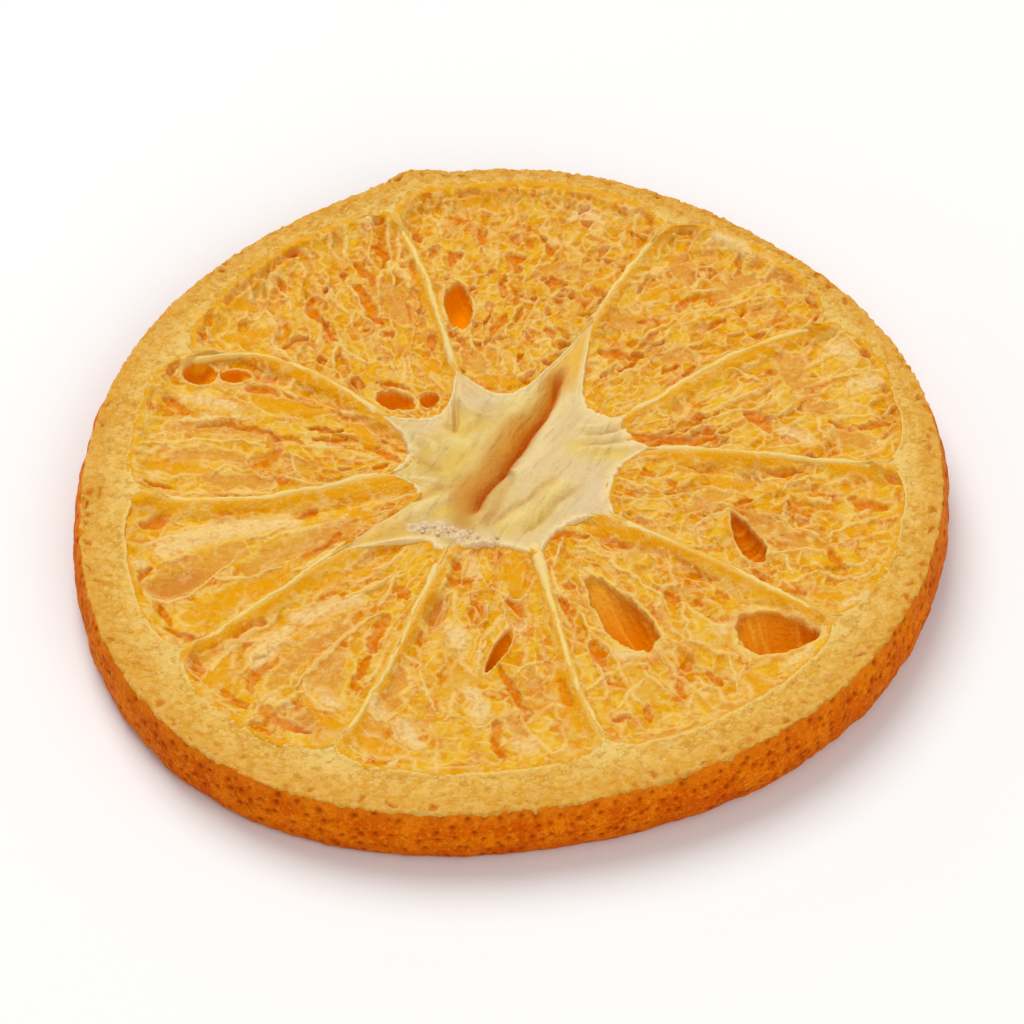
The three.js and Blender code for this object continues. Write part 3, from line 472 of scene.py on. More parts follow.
def dots(x, y, gap, seed):
    """Distance to the nearest of jittered lattice points, and a random number for that point."""
    near = NEIGHBOURS[:, :, None, None]
    i, j = np.floor(x / gap) + near[:, 0], np.floor(y / gap) + near[:, 1]
    dot_x, dot_y = (gap * (k + 0.05 + 0.9 * scatter(i, j, own)) for k, own in ((i, seed), (j, seed + 1)))
    far = np.hypot(x - dot_x, y - dot_y)
    nearest = np.argmin(far, axis=0)[None]
    take = lambda v: np.take_along_axis(v, nearest, axis=0)[0]
    return take(far), take(scatter(i, j, seed + 2))


def threads(x, y, size, seed):
    """Thin crooked lines: 1 where a noise crosses zero, falling off by a bell, and only in some places."""
    line = bell(rough(x / size, y / size, seed, 2) / 0.055)
    return line * ease(ripple(x / (2 * size), y / (2 * size), seed + 5), -0.2, 0.5)


def bent_line(t, three):
    """Points of the parabola through three: (1 - t)(1 - 2t) of the first, 4t(1 - t) and t(2t - 1) of the rest."""
    return np.stack([(1 - t) * (1 - 2 * t), 4 * t * (1 - t), t * (2 * t - 1)]).T @ np.array(three)


def to_curve(x, y, three, steps=14):
    """Distance to the bent line through three points, the least over short straight parts, and the way along."""
    line = bent_line(np.linspace(0, 1, steps + 1), three)
    best, way = np.full(np.shape(x), 1e9), np.zeros(np.shape(x))
    for k in range(steps):
        (ax, ay), (bx, by) = line[k], line[k + 1]
        dx, dy = bx - ax, by - ay
        u = np.clip(((x - ax) * dx + (y - ay) * dy) / (dx * dx + dy * dy), 0, 1)
        far = np.hypot(x - ax - u * dx, y - ay - u * dy)
        way = np.where(far < best, (k + u) / steps, way)
        best = np.minimum(best, far)
    return best, way


# ---------------------------------------------------------------- the slice's own form, in millimetres

def waves(rows, bearing):
    """Sum of cosines, each with its count round the slice, its height and its crest in degrees."""
    return sum(height * np.cos(n * (bearing - math.radians(crest))) for n, height, crest in rows)


def hump(bearing, at, spread):
    """A bell round the slice about one bearing, that and its spread in degrees."""
    return bell(turned(bearing - math.radians(at)) / math.radians(spread))


def outline_radius(bearing):
    """From the core to the outer edge: the ray's way to the round, plus the waves and the one corner."""
    along = CORE[0] * np.cos(bearing) + CORE[1] * np.sin(bearing)
    round_part = np.sqrt(RADIUS ** 2 - CORE[0] ** 2 - CORE[1] ** 2 + along ** 2) - along
    return round_part + waves(OUTLINE_WAVES, bearing) + CORNER_OUT * hump(bearing, CORNER_BEARING, CORNER_SPREAD)


def rind_width(bearing):
    """Widest at the front, narrowed by a bell at the back right."""
    thin = hump(bearing, RIND_THIN_BEARING, RIND_THIN_SPREAD)
    return RIND_AVERAGE - RIND_FRONT * np.sin(bearing) - RIND_LEFT * np.cos(bearing) - RIND_THIN_LESS * thin


def membrane_bearing(k, share):
    """The parabola through a membrane's three bearings, by share of the way out."""
    turn = 2 * math.pi * (k // WEDGES)
    k = k % WEDGES
    inner, middle, outer = (1 - share) * (1 - 2 * share), 4 * share * (1 - share), share * (2 * share - 1)
    return FROM[k] * inner + MIDWAY[k] * middle + TO[k] * outer + turn


def core_radius(bearing):
    """Lobes, each drawn out to the arms of its two membranes, which narrow by e in a few degrees."""
    angle = np.mod(bearing, 2 * math.pi)
    own = np.mod(np.searchsorted(FROM, angle, side="right") - 1, WEDGES)
    after = np.mod(own + 1, WEDGES)
    radius = LOBE[own]
    for edge, neighbour in ((own, own - 1), (after, after)):
        between = (LOBE[own] + LOBE[neighbour]) / 2
        near = np.exp(-np.abs(turned(angle - FROM[edge])) / math.radians(ARM_HALF_ANGLE))
        radius = radius + (between - LOBE[own]) * near ** 2 + (ARM[edge] - between) * near
    return radius


def rind_inner_radius(bearing):
    """The outline less the rind's width, a fillet at each membrane's end, and a scallop between two."""
    angle = np.mod(bearing, 2 * math.pi)
    radius = outline_radius(angle) - rind_width(angle)
    ends = np.sort(TO)
    own = np.mod(np.searchsorted(ends, angle, side="right") - 1, WEDGES)
    first, second = ends[own], ends[np.mod(own + 1, WEDGES)]
    across = np.mod(angle - first, 2 * math.pi) / np.mod(second - first, 2 * math.pi)
    fillet = 0
    for end in (first, second):
        fillet = fillet + CUSP_REACH * np.exp(-np.abs(turned(angle - end)) * radius / CUSP_HALF_WIDTH)
    small = 0.12 * rough(angle * 24, angle * 0, 5, 2)
    return radius - fillet + SCALLOP * np.sin(math.pi * across) + small


def top_height(bearing):
    """The rind's cut face: the thickness and slow waves round the slice."""
    return THICKNESS + waves(TOP_WAVES, bearing)


def outline_middle():
    """The middle of the outline's box, which is moved over the origin, as in the solid."""
    bearing = np.linspace(0, 2 * math.pi, 3601)
    far = outline_radius(bearing) + SIDE_BULGE
    x, y = CORE[0] + far * np.cos(bearing), CORE[1] + far * np.sin(bearing)
    return (x.min() + x.max()) / 2, (y.min() + y.max()) / 2


MIDDLE = outline_middle()


def place(bearing, distance, height):
    """Polar grid points about the core as an array of x, y, z in millimetres."""
    x = CORE[0] - MIDDLE[0] + distance * np.cos(bearing)
    y = CORE[1] - MIDDLE[1] + distance * np.sin(bearing)
    return np.stack(np.broadcast_arrays(x, y, height), axis=-1)


def polar_grid(rows, columns):
    """Shares of the way out and bearings all the way round, as two arrays of the grid's shape."""
    bearing = np.linspace(0, 2 * math.pi, columns, endpoint=False)[None]
    return np.broadcast_arrays(np.linspace(0, 1, rows)[:, None], bearing)


def ellipse_share(row, bearing, distance, taper=0):
    """How far out of a sac's ellipse a point lies: 0 at its middle, 1 on its edge. Taper narrows its inner end."""
    at, out, half_length, half_width, turn = row[:5]
    along = distance * np.cos(bearing - math.radians(at)) - out
    aside = distance * np.sin(bearing - math.radians(at))
    c, s = math.cos(math.radians(turn)), math.sin(math.radians(turn))
    u, v = (along * c + aside * s) / half_length, (aside * c - along * s) / half_width
    return np.hypot(u, v / (1 + taper * np.clip(u, -1, 1)))


# ---------------------------------------------------------------- meshes

def grid_faces(rows, columns, start=0, wrap=False, flip=False):
    """Quads of a grid of points numbered row by row."""
    across = columns if wrap else columns - 1
    i, j = np.meshgrid(np.arange(rows - 1), np.arange(across), indexing="ij")
    k = (j + 1) % columns
    quads = np.stack([i * columns + j, i * columns + k, (i + 1) * columns + k, (i + 1) * columns + j], axis=-1)
    quads = quads.reshape(-1, 4) + start
    return quads[:, ::-1] if flip else quads


def stitch(fine, coarse):
    """Triangles between a fine row of points and a coarse one that has every COARSER-th of its steps."""
    steps = len(coarse) - 1
    k = np.repeat(np.arange(steps), COARSER)
    f = np.arange(steps * COARSER)
    fans = np.stack([coarse[k], fine[f + 1], fine[f]], axis=-1)
    s = np.arange(steps)
    joins = np.stack([coarse[s], coarse[s + 1], fine[(s + 1) * COARSER]], axis=-1)
    return np.concatenate([fans, joins])


def closed(row):
    """A row of point numbers that ends where it starts."""
    return np.append(row, row[0])


def make_piece(name, points, faces, material, marks=None):
    """A mesh object at the origin from points in millimetres, with a float attribute for each mark."""
    mesh = bpy.data.meshes.new(name)
    faces = [np.asarray(f) for f in faces]
    sizes = np.concatenate([np.full(len(f), f.shape[1]) for f in faces])
    corners = np.concatenate([f.ravel() for f in faces]).astype(np.int32)
    starts = np.concatenate([[0], np.cumsum(sizes)[:-1]]).astype(np.int32)
    mesh.vertices.add(len(points))
    mesh.vertices.foreach_set("co", (points * MM).astype(np.float32).ravel())
    mesh.loops.add(len(corners))
    mesh.loops.foreach_set("vertex_index", corners)
    mesh.polygons.add(len(sizes))
    mesh.polygons.foreach_set("loop_start", starts)
    mesh.polygons.foreach_set("use_smooth", np.ones(len(sizes), dtype=bool))
    mesh.update(calc_edges=True)
    mesh.validate()
    for mark, values in (marks or {}).items():
        layer = mesh.attributes.new(mark, "FLOAT", "POINT")
        layer.data.foreach_set("value", np.asarray(values, dtype=np.float32).ravel())
    mesh.materials.append(material)
    piece = bpy.data.objects.new(name, mesh)
    bpy.context.collection.objects.link(piece)
    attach(piece, "root")
    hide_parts("mandarin_slice")
    return piece


def both_sides(layer, steps, extra):
    """A layer's upper grid and its coarser lower one, and both their marks, 0 below where that has none."""
    top, marks = layer(steps[0] + 1, steps[1] + extra, True)
    under, under_marks = layer(steps[0] // COARSER + 1, steps[1] // COARSER + extra, False)
    none = np.zeros(under.shape[:2])
    return top, under, {mark: (values, under_marks.get(mark, none)) for mark, values in marks.items()}


def slab(name, layer, steps, material, wrap=False):
    """A closed slab of two grids, stitched along their borders.

    With wrap, the columns run round and only two borders are left.
    """
    top, under, marks = both_sides(layer, steps, 0 if wrap else 1)
    rows, columns = top.shape[:2]
    low_rows, low_columns = under.shape[:2]
    upper = np.arange(rows * columns).reshape(rows, columns)
    lower = np.arange(low_rows * low_columns).reshape(low_rows, low_columns) + rows * columns
    close = closed if wrap else np.asarray
    faces = [grid_faces(rows, columns, 0, wrap, True), grid_faces(low_rows, low_columns, rows * columns, wrap),
             stitch(close(upper[0]), close(lower[0]))[:, ::-1], stitch(close(upper[-1]), close(lower[-1]))]
    if not wrap:
        faces += [stitch(upper[:, 0], lower[:, 0]), stitch(upper[:, -1], lower[:, -1])[:, ::-1]]
    points = np.concatenate([top.reshape(-1, 3), under.reshape(-1, 3)])
    both = {mark: np.concatenate([np.ravel(a), np.ravel(b)]) for mark, (a, b) in marks.items()}
    return make_piece(name, points, faces, material, both)


def star_slab(name, layer, steps, material):
    """A closed slab of two polar grids. Each innermost ring is one point, so its pole is closed with a fan."""
    top, under, marks = both_sides(layer, steps, 0)
    rows, columns = top.shape[:2]
    low_rows, low_columns = under.shape[:2]
    upper = 1 + np.arange((rows - 1) * columns).reshape(rows - 1, columns)
    pole = 1 + (rows - 1) * columns
    lower = pole + 1 + np.arange((low_rows - 1) * low_columns).reshape(low_rows - 1, low_columns)
    flat = lambda grid: np.concatenate([grid[0, :1], grid[1:].reshape(-1, *grid.shape[2:])])
    join = lambda a, b: np.concatenate([flat(a), flat(b)])
    fan = lambda centre, ring: np.stack([np.full(len(ring), centre), ring, np.roll(ring, -1)], axis=-1)
    faces = [grid_faces(rows - 1, columns, 1, True, True), grid_faces(low_rows - 1, low_columns, pole + 1, True),
             fan(0, upper[0]), fan(pole, lower[0])[:, ::-1], stitch(closed(upper[-1]), closed(lower[-1]))]
    both = {mark: join(a, b) for mark, (a, b) in marks.items()}
    return make_piece(name, join(top, under), faces, material, both)


def section_caps(sides, first, last):
    """Flat ends of a tube whose section mirrors itself about its points 0 and sides / 2."""
    half = sides // 2
    k = np.arange(1, half - 1)
    quads = np.stack([k, sides - k, sides - k - 1, k + 1], axis=-1)
    tips = np.array([[0, sides - 1, 1], [half - 1, half + 1, half]])
    return [(part + base)[:, ::turn] for base, turn in ((first, 1), (last, -1)) for part in (quads, tips)]


def ball(rings, sides):
    """A ball of few faces: points on a sphere by tilt and turn, with a point at each pole."""
    tilt = np.linspace(0, math.pi, rings + 2)[1:-1, None]
    turn = np.linspace(0, 2 * math.pi, sides, endpoint=False)[None]
    ring = np.broadcast_arrays(np.sin(tilt) * np.cos(turn), np.sin(tilt) * np.sin(turn), np.cos(tilt))
    points = np.concatenate([[[0, 0, 1]], np.stack(ring, axis=-1).reshape(-1, 3), [[0, 0, -1]]])
    k = np.arange(sides)
    first, last = 1 + k, 1 + (rings - 1) * sides + k
    caps = [np.stack([0 * k, first, np.roll(first, -1)], axis=-1),
            np.stack([0 * k + len(points) - 1, np.roll(last, -1), last], axis=-1)]
    body = grid_faces(rings, sides, 1, True, True)
    return points, np.concatenate([body[:, [0, 1, 2]], body[:, [0, 2, 3]], *caps])


# ---------------------------------------------------------------- pulp

def sac_relief(wedge, bearing, distance, seed):
    """Height of the dried juice sacs over their mean level, each point's share of wall, hole and film, and how
    light or dark its orange is: partly at random, partly painted shade in the deeper cups and painted highlight on
    the crests of the long folds.

    Sacs lie along the wedge, and spread like a fan or stay alike by the style's own share. Each has a thin
    raised wall and a cupped floor of its own depth, small cells lie inside them, threads and long folds run
    over both, and a slow warp bends all of them.
    """
    length, width, fan, slant, small, walls, folds, films, spots = SAC_STYLES[wedge][1:]
    middle = (membrane_bearing(wedge, 0.5) + membrane_bearing(wedge + 1, 0.5)) / 2
    x, y = distance * np.cos(bearing - middle), distance * np.sin(bearing - middle)
    y = y * (15 / distance) ** fan
    c, s = math.cos(math.radians(slant)), math.sin(math.radians(slant))
    along, aside = x * c + y * s, y * c - x * s
    warp_x = 0.55 * rough(x / 2.4, y / 2.4, seed) + 0.16 * rough(x / 0.6, y / 0.6, seed + 1, 2)
    warp_y = 0.5 * rough(x / 2.6, y / 2.6, seed + 2) + 0.15 * rough(x / 0.6, y / 0.6, seed + 3, 2)
    along, aside = along + warp_x, aside + warp_y

    gap, luck, sac = cells(along, aside, length, width, seed + 4)
    fade = ease(rough(x / 2.1, y / 2.1, seed + 27, 2), -0.5, 0.35)
    crest = bell(gap / 0.17) * (0.15 + 0.85 * ease(luck, 0.2, 0.7)) * (0.35 + 0.65 * fade)
    burst = ease(sac, 0.5, 0.85)
    cup = (0.04 + 0.36 * burst) * (1 - bell(gap / 0.4))

    small_gap, small_luck, cell = cells(x + 0.6 * warp_x, y + 0.6 * warp_y, small * 1.7, small * 1.3, seed + 9)
    small_crest = bell(small_gap / 0.1) * ease(small_luck, 0.2, 0.8)
    small_cup = 0.11 * cell * (1 - bell(small_gap / 0.16))
    hole = ease(cell, 1 - spots, 1.06 - spots) * ease(small_gap, 0.02, 0.16)

    fold = creased(along / (2.2 * length), aside / (0.8 * width), seed + 14, 2)
    thread = threads(along / 1.8, aside, 0.8, seed + 17)
    patch = rough(x / 1.5, y / 1.5, seed + 20) + 0.9 * (np.mod(7 * sac, 1) - 0.5)
    film = ease(patch, 0.55 - 0.55 * films, 1.0 - 0.55 * films)
    fine = rough(x / 0.22, y / 0.22, seed + 25, 2)

    bare = 1 - 0.85 * film
    height = 0.8 * walls * (0.12 * crest - cup + bare * (0.06 * small_crest - small_cup) + 0.03 * thread)
    height = height + folds * fold - 0.2 * hole * bare + 0.022 * fine
    wall = np.maximum(np.maximum(crest, 0.75 * small_crest * bare), 0.35 * thread)
    # Lightness of the orange: partly random by sac and cell, partly painted shade that darkens the deeper cups and
    # painted highlight on the crests of the long folds.
    tone = 0.45 * (1 - burst) * (1 - bell(gap / 0.4)) + 0.35 * (1 - cell) + 0.2 + 1.6 * folds * fold
    return height, wall, hole * bare, film, tone


def single_sacs(wedge, x, y, seed):
    """Share of each look of the wedge's single sacs at every point, and how far they smooth what lies there.

    Each is a lens along a bent line. If it is a film, frost or a bead, or wide, it has a thin pale rim. A slow
    warp makes the borders wavy.
    """
    x, y = x + 0.3 * rough(x / 0.8, y / 0.8, seed + 71, 3), y + 0.3 * rough(x / 0.8, y / 0.8, seed + 73, 3)
    looks = {look: np.zeros_like(x) for look in ("gap", "film", "frost", "clear", "bead", "ridge", "rim")}
    for look, rows in SINGLE_SACS[SAC_STYLES[wedge][0]].items():
        for *line, widest in rows:
            far, way = to_curve(x, y, np.reshape(line, (3, 2)), 8)
            half_width = widest * (0.6 + 0.4 * np.sin(math.pi * way))
            looks[look] = np.maximum(looks[look], 1 - ease(far / half_width, 0.4, 1.5))
            if look in ("film", "bead", "frost") or widest > 0.33:
                looks["rim"] = np.maximum(looks["rim"], bell((far - half_width - 0.15) / 0.15))
    looks["rim"] = looks["rim"] * ease(rough(x / 1.2, y / 1.2, seed + 75, 2), -0.6, 0.5)
    return looks, np.maximum.reduce([looks[look] for look in ("film", "clear", "gap", "bead")])


def burst_sacs(height, wall, level, bearing, distance, seed):
    """The pulp with its open burst sacs, and for each point its share of one, its ribs and how shallow it is.

    A sac's floor is a half ellipse, shallower towards its inner end, with ribs along it and a low lip round it.
    """
    ragged = 1 + 0.12 * rough(bearing * 30, distance / 0.7, seed + 50, 3)
    pit, ribbed, shallow = np.zeros_like(height), np.full_like(height, 0.5), np.zeros_like(height)
    for at, middle, half_length, half_width, turn, depth, taper in PITS:
        row = (at, middle, half_length, half_width, turn)
        out = ellipse_share(row, bearing, distance, taper) * ragged
        along = distance * np.cos(bearing - math.radians(at)) - middle
        sloping = 0.45 + 0.55 * ease(along, -half_length, 0.5 * half_length)
        dip = np.sqrt(np.clip(1 - out ** 2, 0, 1)) * sloping
        own = bearing - math.radians(at) + math.radians(turn)
        ribs = rough(distance * np.sin(own) / 0.3, distance * np.cos(own) / 4, seed + 60, 2)
        bottom = level - 0.8 * depth * dip + 0.12 * ribs
        inside = 1 - ease(out, 0.93, 1.02)
        lip = bell((out - 1.08) * 7)
        height = height * (1 - inside) + np.minimum(height, bottom) * inside + 0.1 * lip
        wall = np.maximum(wall * (1 - inside), 0.8 * lip)
        ribbed = np.where(inside > pit, 0.5 + 0.5 * ribs, ribbed)
        shallow = np.where(inside > pit, (1 - sloping) / 0.55 * ease(half_length, 2.2, 3), shallow)
        pit = np.maximum(pit, inside * (0.35 + 0.65 * dip))
    return height, wall, pit, ribbed, shallow


def pulp_surface(wedge, across, walls, bearing, distance, ends, seed):
    """Top of the pulp: sunk below the rind, smooth and lowest beside the membranes, with sacs and burst sacs.

    The strip along a membrane is wider where its wall faces the front, and ragged notches line the back rind.
    """
    relief, wall, hole, film, tone = sac_relief(wedge, bearing, distance, seed)
    spread = (walls[1] - walls[0]) * distance
    near, far = across * spread, (1 - across) * spread
    facing = np.clip(np.where(near < far, -np.cos(walls[0]), np.cos(walls[1])), 0, 1)
    facing = facing * ease(rough(distance / 3, np.where(near < far, 0, 9), seed + 33, 2), -1.1, 0.2)
    aside = np.minimum(near, far)
    to_rind = ends[1] - distance
    edge = aside + 0.22 * rough(bearing * 12, distance / 1.2, seed + 30, 2)
    open_part = ease(edge, 0.12 + 0.5 * facing, 0.4 + 0.95 * facing)
    open_part = open_part * ease(np.minimum(distance - ends[0], to_rind), -0.1, 0.3)

    looks, smooth = single_sacs(wedge, distance * np.cos(bearing), distance * np.sin(bearing), seed)
    gap, sheet, frost, clear, bead, ridge, rim = looks.values()
    relief = relief * (1 - 0.6 * smooth) - 0.21 * gap - 0.09 * sheet + 0.05 * frost
    relief = relief + 0.12 * ridge + 0.06 * rim + 0.3 * bead
    wall = np.maximum(np.maximum(wall * (1 - 0.8 * smooth), 0.9 * ridge), 0.75 * rim)
    film, hole = np.maximum(0.7 * film * (1 - smooth), sheet), hole * (1 - smooth)
    # Painted highlight: raised beads are lighter.
    tone = tone * (1 - 0.6 * smooth) + 0.5 * bead

    top, still = top_height(bearing), bearing * 0
    level = top - PULP_SINK
    swell = 0.12 * np.sin(math.pi * np.clip(across, 0, 1))
    swell = swell + 0.16 * rough(bearing * 4, distance / 3.5, seed + 40, 2)
    beside = 0.38 * bell(aside / (0.4 + 0.5 * facing)) - 0.24 * facing * bell((aside - 1.35) / 0.5)
    border = 0.5 + 0.1 * ease(np.sin(bearing), -0.2, 0.4) + 0.08 * rough(bearing * 9, still, seed + 36, 2)
    notch = ease(rough(bearing * 16, still, seed + 38, 2), 0.1, 0.4) * bell((to_rind - 0.32) / 0.2)
    notch = notch * ease(np.sin(bearing), -0.2, 0.5)
    height = level + swell + beside + border * bell(to_rind / 0.8)
    height = height + (0.25 + 0.75 * open_part) * relief - 0.35 * notch
    wall, hole = wall * (0.3 + 0.7 * open_part), np.maximum(hole, notch) * open_part

    hollow = np.zeros_like(height)
    for row in HOLLOWS:
        inside = 1 - ease(ellipse_share(row, bearing, distance), 0.4, 1.15)
        hollow, height = np.maximum(hollow, inside), height - row[5] * inside
    height, wall, pit, ribbed, shallow = burst_sacs(height, wall, level, bearing, distance, seed)
    # Painted shade: sunk places, small holes and gone sacs are marked for a darker orange.
    deep = np.clip(ease(level - height, 0.05, 0.8) * 0.7 + 0.6 * hole + 0.65 * gap, 0, 1)
    pale = 0.75 * bell(aside / 0.2) * (1 - notch)
    marks = {"deep": deep * np.maximum(open_part, notch), "film": np.maximum(film * (1 - pit), 1.6 * hollow),
             # In a burst sac the lightness is painted light: lighter at its shallow inner end.
             "pit": pit, "tone": np.where(pit > 0.3, shallow, tone), "ribs": ribbed, "frost": frost * (1 - pit),
             "open": np.maximum(open_part * (1 - clear), pit), "wall": np.maximum(wall, pale)}
    return np.minimum(height, top + 0.05), marks


def pulp_wedge(wedge, material):
    """One wedge between two membranes, tucked a little under the core and the rind."""
    def layer(rows, columns, upper):
        share, across = np.meshgrid(np.linspace(0, 1, rows), np.linspace(0, 1, columns), indexing="ij")
        walls, inner_walls, outer_walls = (
            (membrane_bearing(wedge, at), membrane_bearing(wedge + 1, at)) for at in (share, 0, 1))
        between = lambda two: two[0] + (two[1] - two[0]) * across
        inner, outer = core_radius(between(inner_walls)), rind_inner_radius(between(outer_walls))
        reach = outer - inner + UNDER_CORE + UNDER_RIND
        bearing, distance = between(walls), inner - UNDER_CORE + reach * share
        if upper:
            ends, seed = (inner, outer), 100 * wedge + 7
            height, marks = pulp_surface(wedge, across, walls, bearing, distance, ends, seed)
        else:
            relief, wall, _, film, tone = sac_relief(wedge, bearing, distance, 100 * wedge + 57)
            height = np.clip(UNDER_SINK - 0.6 * relief, 0.06, 1.2)
            # Painted shade: the underside is marked darker where it lifts off the floor. How light its orange is
            # comes partly at random and partly from painted shade and highlight.
            marks = {"wall": wall, "deep": ease(height, 0.4, 0.8), "film": film, "tone": tone,
                     "open": np.ones_like(wall)}
        return place(bearing, distance, height), marks

    return slab("pulp_" + SAC_STYLES[wedge][0], layer, PULP_STEPS, material)


# ---------------------------------------------------------------- membranes

def membrane_walls(material):
    """Ten thin upright walls: the section, up one side and down the other, carried along each membrane.

    Each starts low in the pith, and sways, thickens and thins by slow noises. The front one has a longer root.
    """
    mirrored = [(-w, h) for w, h in MEMBRANE_SECTION[-2:0:-1]]
    half, rise = np.array(MEMBRANE_SECTION + mirrored).T
    sides = len(half)
    share = np.linspace(0, 1, MEMBRANE_STEPS)[:, None]
    points, faces = [], []
    for k in range(WEDGES):
        front = k == FRONT_MEMBRANE
        root = FRONT_ROOT if front else ROOT
        start, end = float(core_radius(FROM[k])) - root, float(rind_inner_radius(TO[k])) + INTO_RIND
        distance = start + (end - start) * share
        along = (distance - start - root) / (end - start - root - INTO_RIND)
        bearing = membrane_bearing(k, np.clip(along, 0, 1))
        still = distance * 0 + k
        sway = 0.16 * rough(distance / 1.8, still, 300 + k, 3)
        top = top_height(bearing) - 0.16 + 0.07 * rough(distance / 1.1, still, 330 + k, 3)
        rooted = ease(share, 0.03, 0.24) if front else ease(share, 0.04, 0.15)
        top = top - 0.65 * (1 - rooted) - 0.25 * ease(share, 0.965, 1)
        low = 0.1 + 0.05 * rough(distance / 1.0, still, 360 + k)
        thick = 1 + 0.35 * rough(distance / 0.9, still, 390 + k, 3)
        thick = thick * (1 + 0.6 * bell((share - 1) / 0.08) + 0.8 * bell(share / 0.18))
        if front:
            thick = thick * (0.5 + 0.5 * ease(share, 0, 0.2)) * (1 + 0.8 * bell((share - 0.24) / 0.14))
        wobble = 0.05 * rough(distance / 0.3 + 9 * k, rise[None] * 5, 420 + k, 2)
        aside = half[None] * thick + sway + wobble
        points.append(place(bearing + aside / distance, distance, low + (top - low) * rise[None]).reshape(-1, 3))
        base = k * MEMBRANE_STEPS * sides
        faces.append(grid_faces(MEMBRANE_STEPS, sides, base, True, True))
        faces += section_caps(sides, base, base + (MEMBRANE_STEPS - 1) * sides)
    inner = np.repeat(1 - share[:, 0], sides)
    marks = {"crest": np.tile(rise, MEMBRANE_STEPS * WEDGES), "inner": np.tile(inner, WEDGES)}
    return make_piece("membranes", np.concatenate(points), faces, material, marks)


# ---------------------------------------------------------------- core

def tear_shape(along, aside):
    """The tear: distance from its slightly bent line, depth of its valley as a share, and where it is torn.

    The left bank slopes down over 2.8 mm, and the right one rises by e in 0.26 mm, almost upright. Past its
    open part the tear goes on ahead as a narrow cleft.
    """
    bent = aside + 0.3 * ease(along, -2.5, 4) - 0.26 * bell((along + 2.3) / 1.6)
    bent = bent + 0.1 * rough(along / 1.1, along * 0, 501, 3) - 0.25 - 0.2 * (1 - ease(along, 3, 5))
    bent = bent - 0.3 * (1 - ease(along, -5, -3)) - 0.25 * ease(along, 5.5, 8)
    length = np.where(along > 0, TEAR_AHEAD, TEAR_BACK)
    open_part = 1 - ease(np.abs(along) / length, 0.55, 1)
    left = 0.55 * np.clip(1 - bent / 2.8, 0, 1) ** 1.2 + 0.35 * bell(bent / 0.35)
    valley = open_part * np.where(bent > 0, left, np.exp(bent / 0.26))
    ahead = ease(along, 2, 4) * (1 - ease(along, 7.6, 9.6))
    return bent, np.maximum(valley, 0.62 * bell(bent / 0.26) * ahead), np.maximum(open_part, ahead)


def core_surface(bearing, share, distance):
    """Top of the pith: ridges and creases as bells across bent lines, and the tear as a steep valley.

    Strands run along the tear, the rim is a little raised and falls off outwards, and crumbs clump at the front.
    """
    x, y = distance * np.cos(bearing), distance * np.sin(bearing)
    bend_x, bend_y = 0.3 * rough(x / 2, y / 2, 503, 2), 0.3 * rough(x / 2, y / 2, 505, 2)
    line = math.radians(TEAR_BEARING)
    along, aside = distance * np.cos(bearing - line), distance * np.sin(bearing - line)
    bent, valley, torn = tear_shape(along, aside)
    ridge, crease = np.zeros_like(x), np.zeros_like(x)
    for *three, half_width, rise in PITH_FOLDS:
        far, way = to_curve(x + bend_x, y + bend_y, three)
        shape = bell(far / half_width) * ease(way, -0.02, 0.15) * (1 - ease(way, 0.8, 1.02)) * rise
        ridge, crease = np.maximum(ridge, shape), np.minimum(crease, shape)
    front = 1 - ease(to_curve(x + bend_x, y + bend_y, CRUMB_LINE)[0], 0.4, 0.75)
    clumps = front * ease(rough(x / 0.3, y / 0.26, 551), -0.5, 0.6)
    # Patches of colour; the brownish ones are painted shade.
    patches_and_shade = {}
    for mark, rows in PITH_PATCHES_AND_SHADE.items():
        far = [to_curve(x + 1.5 * bend_x, y + 1.5 * bend_y, three, 6)[0] / half_width
               for *three, half_width in rows]
        patches_and_shade[mark] = bell(np.minimum.reduce(far))

    top = top_height(bearing)
    strands = rough(bent / 0.22, along / 1.8, 511, 3)
    creep = creased((x + bend_x) / 1.1, (y + bend_y) / 2.4, 521, 3)
    grain = rough(x / 0.2, y / 0.2, 531, 2)
    height = top - CORE_SINK - 0.22 + 0.7 * ridge + 0.7 * crease - 0.38 * TEAR_DEPTH * valley
    height = height + 0.03 * strands + 0.06 * creep + 0.02 * grain
    height = height + 0.14 * bell((share - 0.945) / 0.03) - 0.8 * ease(share, 0.965, 1.0) + 0.2 * clumps
    marks = {"reach": distance, "crumb": clumps, "valley": valley, "ridge": ridge / 0.3, "crease": -crease / 0.3,
             "side": bent * (1 + 0.8 * ease(along, 3.5, 6)), "tear": torn, "strand": strands, "rim": share,
             **patches_and_shade}
    return np.minimum(height, top + 0.12), marks


def core_star(material):
    """The star-shaped pith: a polar grid whose outermost ring follows the lobes and arms."""
    def layer(rings, columns, upper):
        share, bearing = polar_grid(rings, columns)
        share = share ** 0.9
        ragged = 0.16 * rough(bearing * 22, share * 0, 541, 3)
        distance = np.maximum(share, 1e-4) * (core_radius(bearing) + 0.12 + ragged)
        if upper:
            height, marks = core_surface(bearing, share, distance)
        else:
            fine = rough(distance / 0.5, bearing * 8, 551, 3)
            height = 0.3 + 0.08 * fine + 0.25 * ease(share, 0.85, 1)
            marks = {"side": np.full_like(fine, -3), "strand": fine, "rim": share}
        points = place(bearing, distance, height)
        points[0] = points[0].mean(axis=0)
        return points, marks

    return star_slab("core", layer, CORE_STEPS, material)


